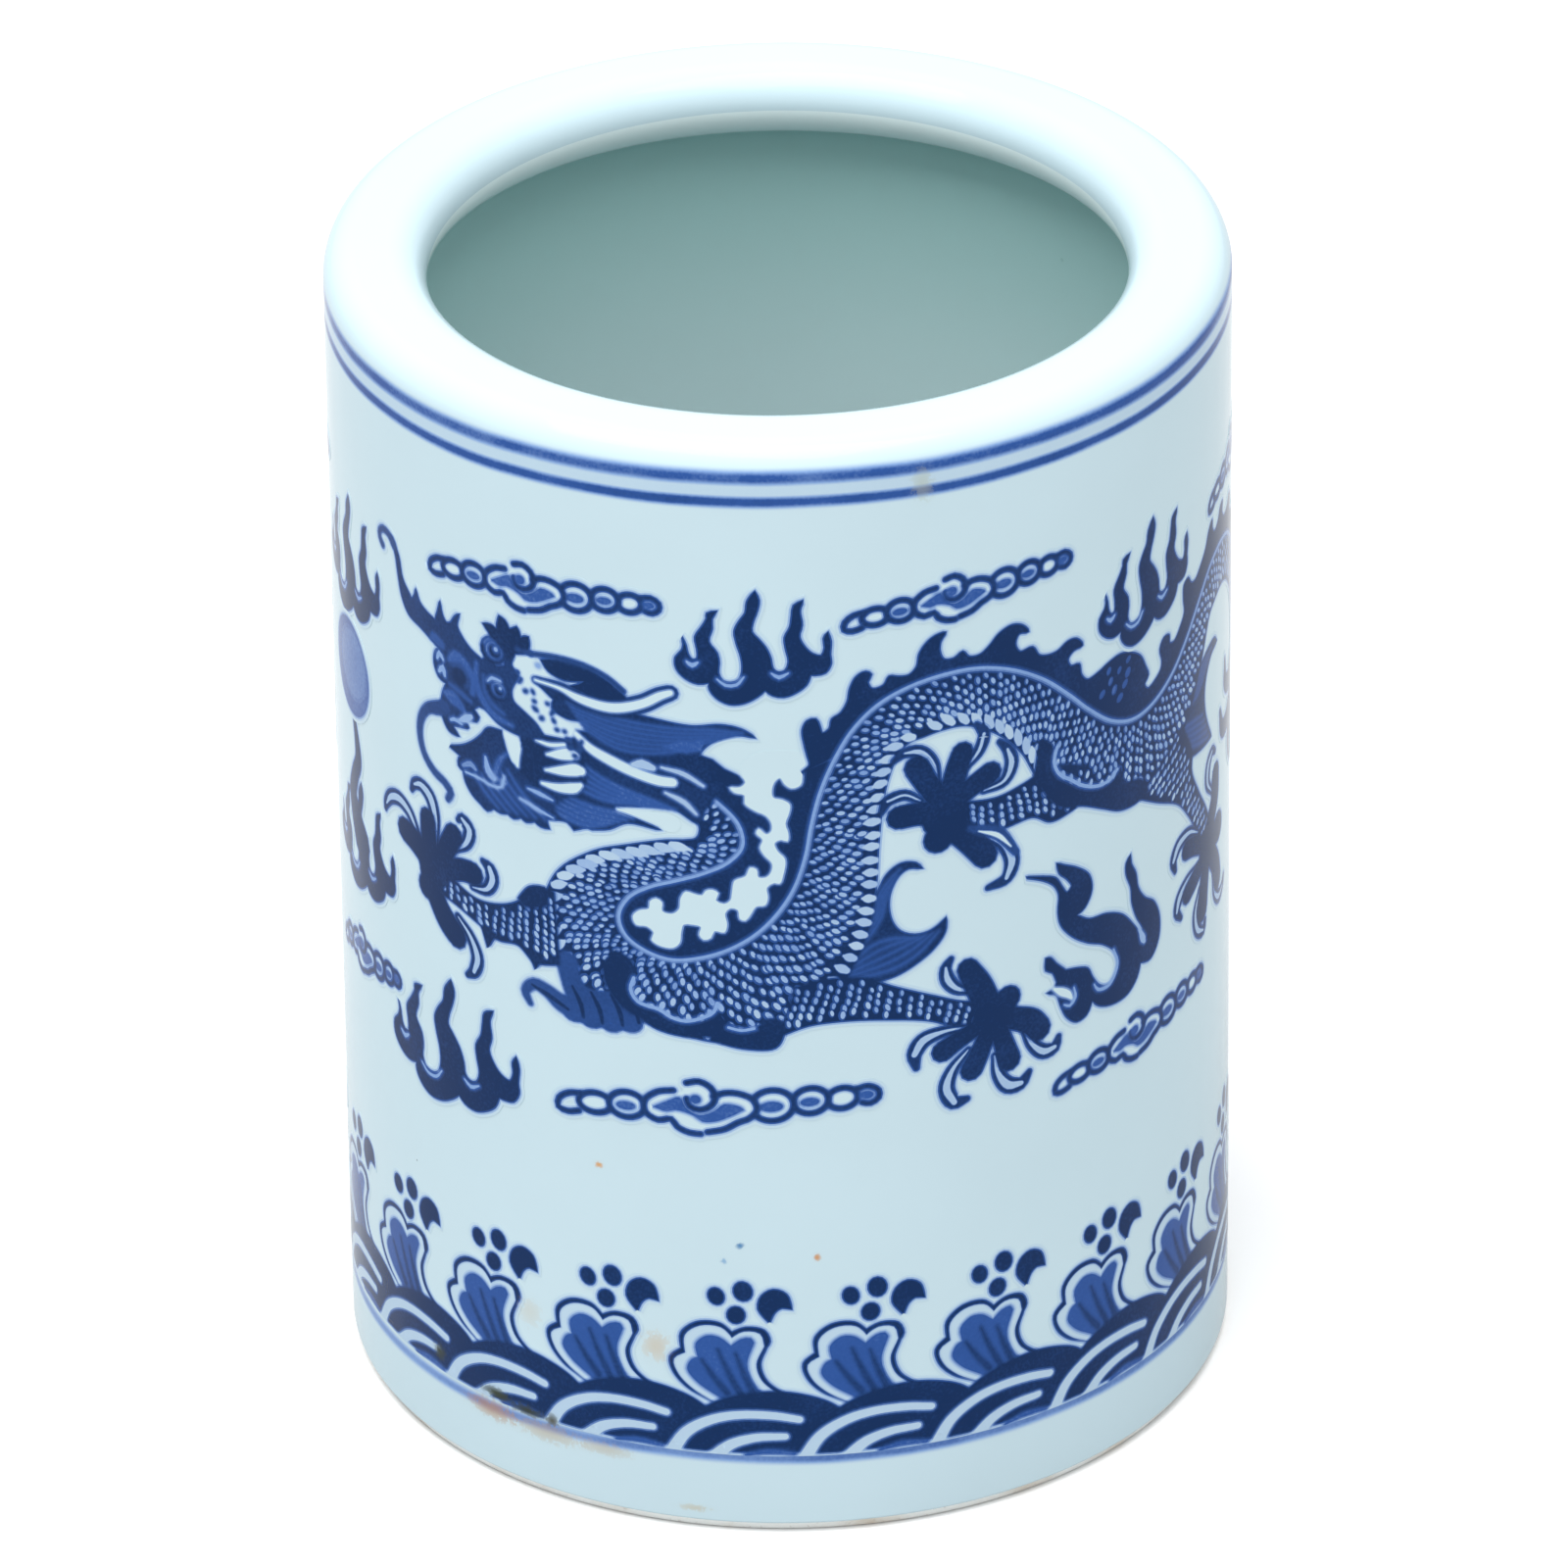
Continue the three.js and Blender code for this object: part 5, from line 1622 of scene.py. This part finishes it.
class BRUSHPOT_OT_glaze(Operator):
    """Turn the coats of glaze outside, inside and under the pot"""

    bl_idname = "brush_pot.glaze"
    bl_label = "Glaze coats"

    def execute(self, context):
        clay_radius = OUTER_RADIUS - GLAZE_THICK
        outside = [
            *arc(clay_radius, GLAZE_LINE + GLAZE_THICK, GLAZE_THICK, -1, 0, 5),
            *arc(OUTER_RADIUS - SHOULDER, HEIGHT - SHOULDER, SHOULDER, 0, 1, 14),
            *arc(MOUTH + LIP, HEIGHT - LIP, LIP, 1, 2, 14),
        ]
        back = [
            *arc(MOUTH + LIP, HEIGHT - LIP, LIP - GLAZE_THICK, 2, 1, 14, True),
            *arc(OUTER_RADIUS - SHOULDER, HEIGHT - SHOULDER, SHOULDER - GLAZE_THICK, 1, 0, 14, True),
            (clay_radius, GLAZE_LINE, -1.0, 0.0),
        ]
        coat = turned("glaze_outside", [outside, straight(outside[-1][:2], back[0][:2]),
                                        back], finish("outside"))
        hand_over(coat, "glaze", "outer_glaze")

        lip = (MOUTH + LIP, HEIGHT - LIP)
        throat = (WELL - THROAT, HEIGHT - 2 * LIP - THROAT)
        cove = (WELL - COVE, FLOOR_HEIGHT + COVE)
        inside = [
            *arc(*lip, LIP, 2, 3, 14),
            *arc(*throat, THROAT, 1, 0, 8, True)[1:],
            *arc(*cove, COVE, 0, -1, 12, True),
            (0.0, FLOOR_HEIGHT, 0.0, 1.0),
        ]
        under = [
            (0.0, FLOOR_HEIGHT - GLAZE_THICK, 0.0, -1.0),
            *arc(*cove, COVE + GLAZE_THICK, -1, 0, 12),
            *arc(*throat, THROAT + GLAZE_THICK, 0, 1, 8),
            *arc(*lip, LIP - GLAZE_THICK, 3, 2, 14, True)[1:],
        ]
        coat = turned("glaze_inside", [inside, under, straight(under[-1][:2], inside[0][:2])],
                      finish("inside"))
        hand_over(coat, "glaze", "inner_glaze")

        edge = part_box("underside_glaze")[1][0] / MM
        low, high = RECESS, RECESS + GLAZE_THICK
        fillet = 0.3
        under = [
            (0.0, low, 0.0, -1.0),
            (edge - 2 * fillet, low, 0.0, -1.0),
            (edge, low, 0.0, -1.0),
        ]
        coat = turned(
            "glaze_underside",
            [under, straight((edge, low), (edge, high)), straight((edge, high), (0.0, high))],
            finish("inside"),
        )
        hand_over(coat, "glaze", "underside_glaze")
        return {"FINISHED"}


class BRUSHPOT_OT_clay(Operator):
    """Turn the bare foot ring, and give the clay under the glaze its finish"""

    bl_idname = "brush_pot.clay"
    bl_label = "Clay and foot"

    def execute(self, context):
        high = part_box("foot_ring")[1]
        outer, top = high[0] / MM, high[2] / MM
        foot_outer, foot_inner, bevel = 49.2, 44.8, 0.45
        rim = [
            *arc(foot_inner + bevel, bevel, bevel, -2, -1, 5),
            *arc(foot_outer - bevel, bevel, bevel, -1, -0.2, 5),
            (outer, GLAZE_LINE, 0.95, -0.3),
            (outer, top, 1.0, 0.0),
        ]
        foot = turned(
            "foot_ring_biscuit",
            [rim, straight((outer, top), (foot_inner, top)), [(foot_inner, top, -1.0, 0.0),
                (*rim[0][:2], -1.0, 0.0)]],
            finish("clay"),
        )
        hand_over(foot, "biscuit", "foot_ring")
        for node in ("base", "wall", "rim"):
            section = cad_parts[node]
            section.data.materials.clear()
            section.data.materials.append(finish("clay"))
        return {"FINISHED"}


def repeat_round_wall(piece, copies, turn, material):
    """Repeats a piece round the pot's axis with Geometry Nodes, and returns the plain mesh piece."""
    tree = bpy.data.node_groups.new("Repeat round the wall", "GeometryNodeTree")
    tree.interface.new_socket("Geometry", in_out="INPUT", socket_type="NodeSocketGeometry")
    tree.interface.new_socket("Copies", in_out="INPUT", socket_type="NodeSocketInt")
    tree.interface.new_socket("Turn", in_out="INPUT", socket_type="NodeSocketFloat")
    tree.interface.new_socket("Finish", in_out="INPUT", socket_type="NodeSocketMaterial")
    tree.interface.new_socket("Geometry", in_out="OUTPUT", socket_type="NodeSocketGeometry")
    given, result = tree.nodes.new("NodeGroupInput"), tree.nodes.new("NodeGroupOutput")
    places = put(tree, "GeometryNodePoints", {"Count": given.outputs["Copies"]})
    count = put(tree, "GeometryNodeInputIndex")
    angle = put(tree, "ShaderNodeMath", {0: count.outputs[0], 1: given.outputs["Turn"]}, operation="MULTIPLY")
    spin = put(tree, "ShaderNodeCombineXYZ", {"Z": angle.outputs[0]})
    copies_node = put(
        tree, "GeometryNodeInstanceOnPoints",
        {"Points": places.outputs[0], "Instance": given.outputs["Geometry"], "Rotation": spin.outputs[0]},
    )
    real = put(tree, "GeometryNodeRealizeInstances", {"Geometry": copies_node.outputs[0]})
    painted = put(tree, "GeometryNodeSetMaterial", {"Geometry": real.outputs[0],
        "Material": given.outputs["Finish"]})
    tree.links.new(painted.outputs[0], result.inputs[0])
    modifier = piece.modifiers.new("Repeat", "NODES")
    modifier.node_group = tree
    sockets = {item.name: item.identifier for item in tree.interface.items_tree if item.in_out == "INPUT"}
    modifier[sockets["Copies"]] = copies
    modifier[sockets["Turn"]] = turn
    modifier[sockets["Finish"]] = material
    graph = bpy.context.evaluated_depsgraph_get()
    mesh = bpy.data.meshes.new_from_object(piece.evaluated_get(graph))
    piece.modifiers.clear()
    old = piece.data
    piece.data = mesh
    bpy.data.meshes.remove(old)
    mesh.name = piece.name
    return piece


class BRUSHPOT_OT_waves(Operator):
    """Paint the sea round the foot, with its foam crests and spray"""

    bl_idname = "brush_pot.waves"
    bl_label = "Wave border"

    def execute(self, context):
        half, turn = CREST_PITCH / 2, 2 * math.pi / CRESTS
        east = skin("wave_border_east", wave_units(), finish("painted"), (-half, half, SEA_FLOOR))
        west = link("wave_border_west", east.data.copy())
        in_east = CRESTS // 2
        west.data.transform(Matrix.Rotation(in_east * turn, 4, "Z"))
        for border, copies in ((east, in_east), (west, CRESTS - in_east)):
            repeat_round_wall(border, copies, turn, finish("painted"))
            hand_over(border, "glaze")
        return {"FINISHED"}


class BRUSHPOT_OT_flames(Operator):
    """Paint the bursts of flame on both sides of the pot"""

    bl_idname = "brush_pot.flames"
    bl_label = "Flames"

    def execute(self, context):
        groups = (("flames", flames(), 2), ("blown_flames", blown_flames(), 2), ("pearls", pearls(), 3))
        for name, painting, layer in groups:
            piece = skin(name, painting, finish("painted"), layer=layer)
            repeat_round_wall(piece, 2, math.pi, finish("painted"))
            hand_over(piece, "glaze")
        return {"FINISHED"}


class BRUSHPOT_OT_clouds(Operator):
    """Paint the scrolls of cloud on both sides of the pot"""

    bl_idname = "brush_pot.clouds"
    bl_label = "Clouds"

    def execute(self, context):
        names = ("clouds_left", "clouds_right")
        for piece in skins(names, clouds(), finish("painted"), (CLOUD_BORDER,), layer=1):
            repeat_round_wall(piece, 2, math.pi, finish("painted"))
            hand_over(piece, "glaze")
        return {"FINISHED"}


class BRUSHPOT_OT_dragon(Operator):
    """Paint the dragon, and its twin on the far side of the pot"""

    bl_idname = "brush_pot.dragon"
    bl_label = "Dragons"

    def execute(self, context):
        names = ("dragon_front_left", "dragon_front_middle", "dragon_front_right")
        for front in skins(names, dragon(), finish("painted"), DRAGON_BORDERS):
            back = link(front.name.replace("front", "back"), front.data.copy())
            back.data.transform(Matrix.Rotation(math.pi, 4, "Z"))
            for piece in (front, back):
                hand_over(piece, "glaze")
        return {"FINISHED"}


class BRUSHPOT_OT_stage(Operator):
    """Set up the floor, the studio light and the camera"""

    bl_idname = "brush_pot.stage"
    bl_label = "Stage"

    def execute(self, context):
        settings = context.scene.brush_pot_stage
        half = 6.0
        mesh = bpy.data.meshes.new("studio_floor")
        mesh.from_pydata([(-half, -half, 0), (half, -half, 0), (half, half, 0),
                          (-half, half, 0)], [], [(0, 1, 2, 3)])
        material, tree, shader = empty_material("Pale paper", Roughness=0.9)
        where = put(tree, "ShaderNodeTexCoord").outputs["Object"]
        fibre = put(tree, "ShaderNodeTexNoise", {"Vector": where, "Scale": 40.0,
            "Detail": 2.0}).outputs["Fac"]
        paper = mixed(tree, fibre, (0.60, 0.61, 0.615, 1), (0.64, 0.65, 0.655, 1))
        seen = put(tree, "ShaderNodeLightPath").outputs["Is Camera Ray"]
        paper = mixed(tree, seen, paper, FLOOR_SEEN)
        tree.links.new(paper, shader.inputs["Base Color"])
        mesh.materials.append(material)
        link("studio_floor", mesh)

        world = bpy.data.worlds.new("White surround")
        world.use_nodes = True
        background = world.node_tree.nodes["Background"]
        background.inputs["Color"].default_value = (1.0, 1.0, 1.0, 1)
        background.inputs["Strength"].default_value = settings.surround
        context.scene.world = world

        self.area_light(context, "top_softbox", (-0.15, -0.28, 1.3), (0, 0, 0.07), (1.3, 1.0),
                        settings.top_light)

        middle = Vector((0, 0, 0.0685))
        lift = settings.elevation
        back = Vector((0, -math.cos(lift), math.sin(lift)))
        up = Vector((0, math.sin(lift), math.cos(lift)))
        camera = bpy.data.cameras.new("camera")
        camera.sensor_width = 36.0
        camera.lens = settings.lens
        camera.clip_start = 0.05
        stand = bpy.data.objects.new("camera", camera)
        context.scene.collection.objects.link(stand)
        turn = Matrix((Vector((1, 0, 0)), up, back)).transposed()
        turn = turn @ Matrix.Rotation(settings.roll, 3, "Z")
        place = middle + back * settings.distance - up * CAMERA_DROP
        stand.matrix_world = Matrix.Translation(place) @ turn.to_4x4()
        context.scene.camera = stand
        context.scene.view_settings.view_transform = "Standard"
        context.scene.view_settings.look = "None"
        return {"FINISHED"}

    @staticmethod
    def area_light(context, name, place, target, size, power):
        light = bpy.data.lights.new(name, "AREA")
        light.shape = "RECTANGLE"
        light.size, light.size_y = size
        light.energy = power
        lamp = bpy.data.objects.new(name, light)
        lamp.location = place
        lamp.rotation_euler = (Vector(target) - Vector(place)).to_track_quat("-Z", "Y").to_euler()
        context.scene.collection.objects.link(lamp)


STEPS = (
    BRUSHPOT_OT_glaze,
    BRUSHPOT_OT_clay,
    BRUSHPOT_OT_dragon,
    BRUSHPOT_OT_flames,
    BRUSHPOT_OT_clouds,
    BRUSHPOT_OT_waves,
    BRUSHPOT_OT_stage,
)
SETTINGS = {
    "brush_pot_colours": BrushPotColours,
    "brush_pot_lines": BrushPotLines,
    "brush_pot_stage": BrushPotStage,
}


class BRUSHPOT_PT_panel(Panel):
    """Sizes, colours and building steps of the brush pot"""

    bl_idname = "BRUSHPOT_PT_panel"
    bl_label = "Brush Pot"
    bl_space_type = "VIEW_3D"
    bl_region_type = "UI"
    bl_category = "Brush Pot"

    def draw(self, context):
        for attribute, group in SETTINGS.items():
            box = self.layout.box()
            for label in group.__annotations__:
                box.prop(getattr(context.scene, attribute), label)
        for step in STEPS:
            self.layout.operator(step.bl_idname)


def register():
    for kind in (*SETTINGS.values(), *STEPS, BRUSHPOT_PT_panel):
        bpy.utils.register_class(kind)
    for attribute, group in SETTINGS.items():
        setattr(bpy.types.Scene, attribute, PointerProperty(type=group))


def unregister():
    for attribute in SETTINGS:
        delattr(bpy.types.Scene, attribute)
    for kind in reversed((*SETTINGS.values(), *STEPS, BRUSHPOT_PT_panel)):
        bpy.utils.unregister_class(kind)


def main():
    register()
    bpy.ops.brush_pot.glaze()
    bpy.ops.brush_pot.clay()
    bpy.ops.brush_pot.dragon()
    bpy.ops.brush_pot.flames()
    bpy.ops.brush_pot.clouds()
    bpy.ops.brush_pot.waves()
    bpy.ops.brush_pot.stage()


if __name__ == "__main__":
    main()
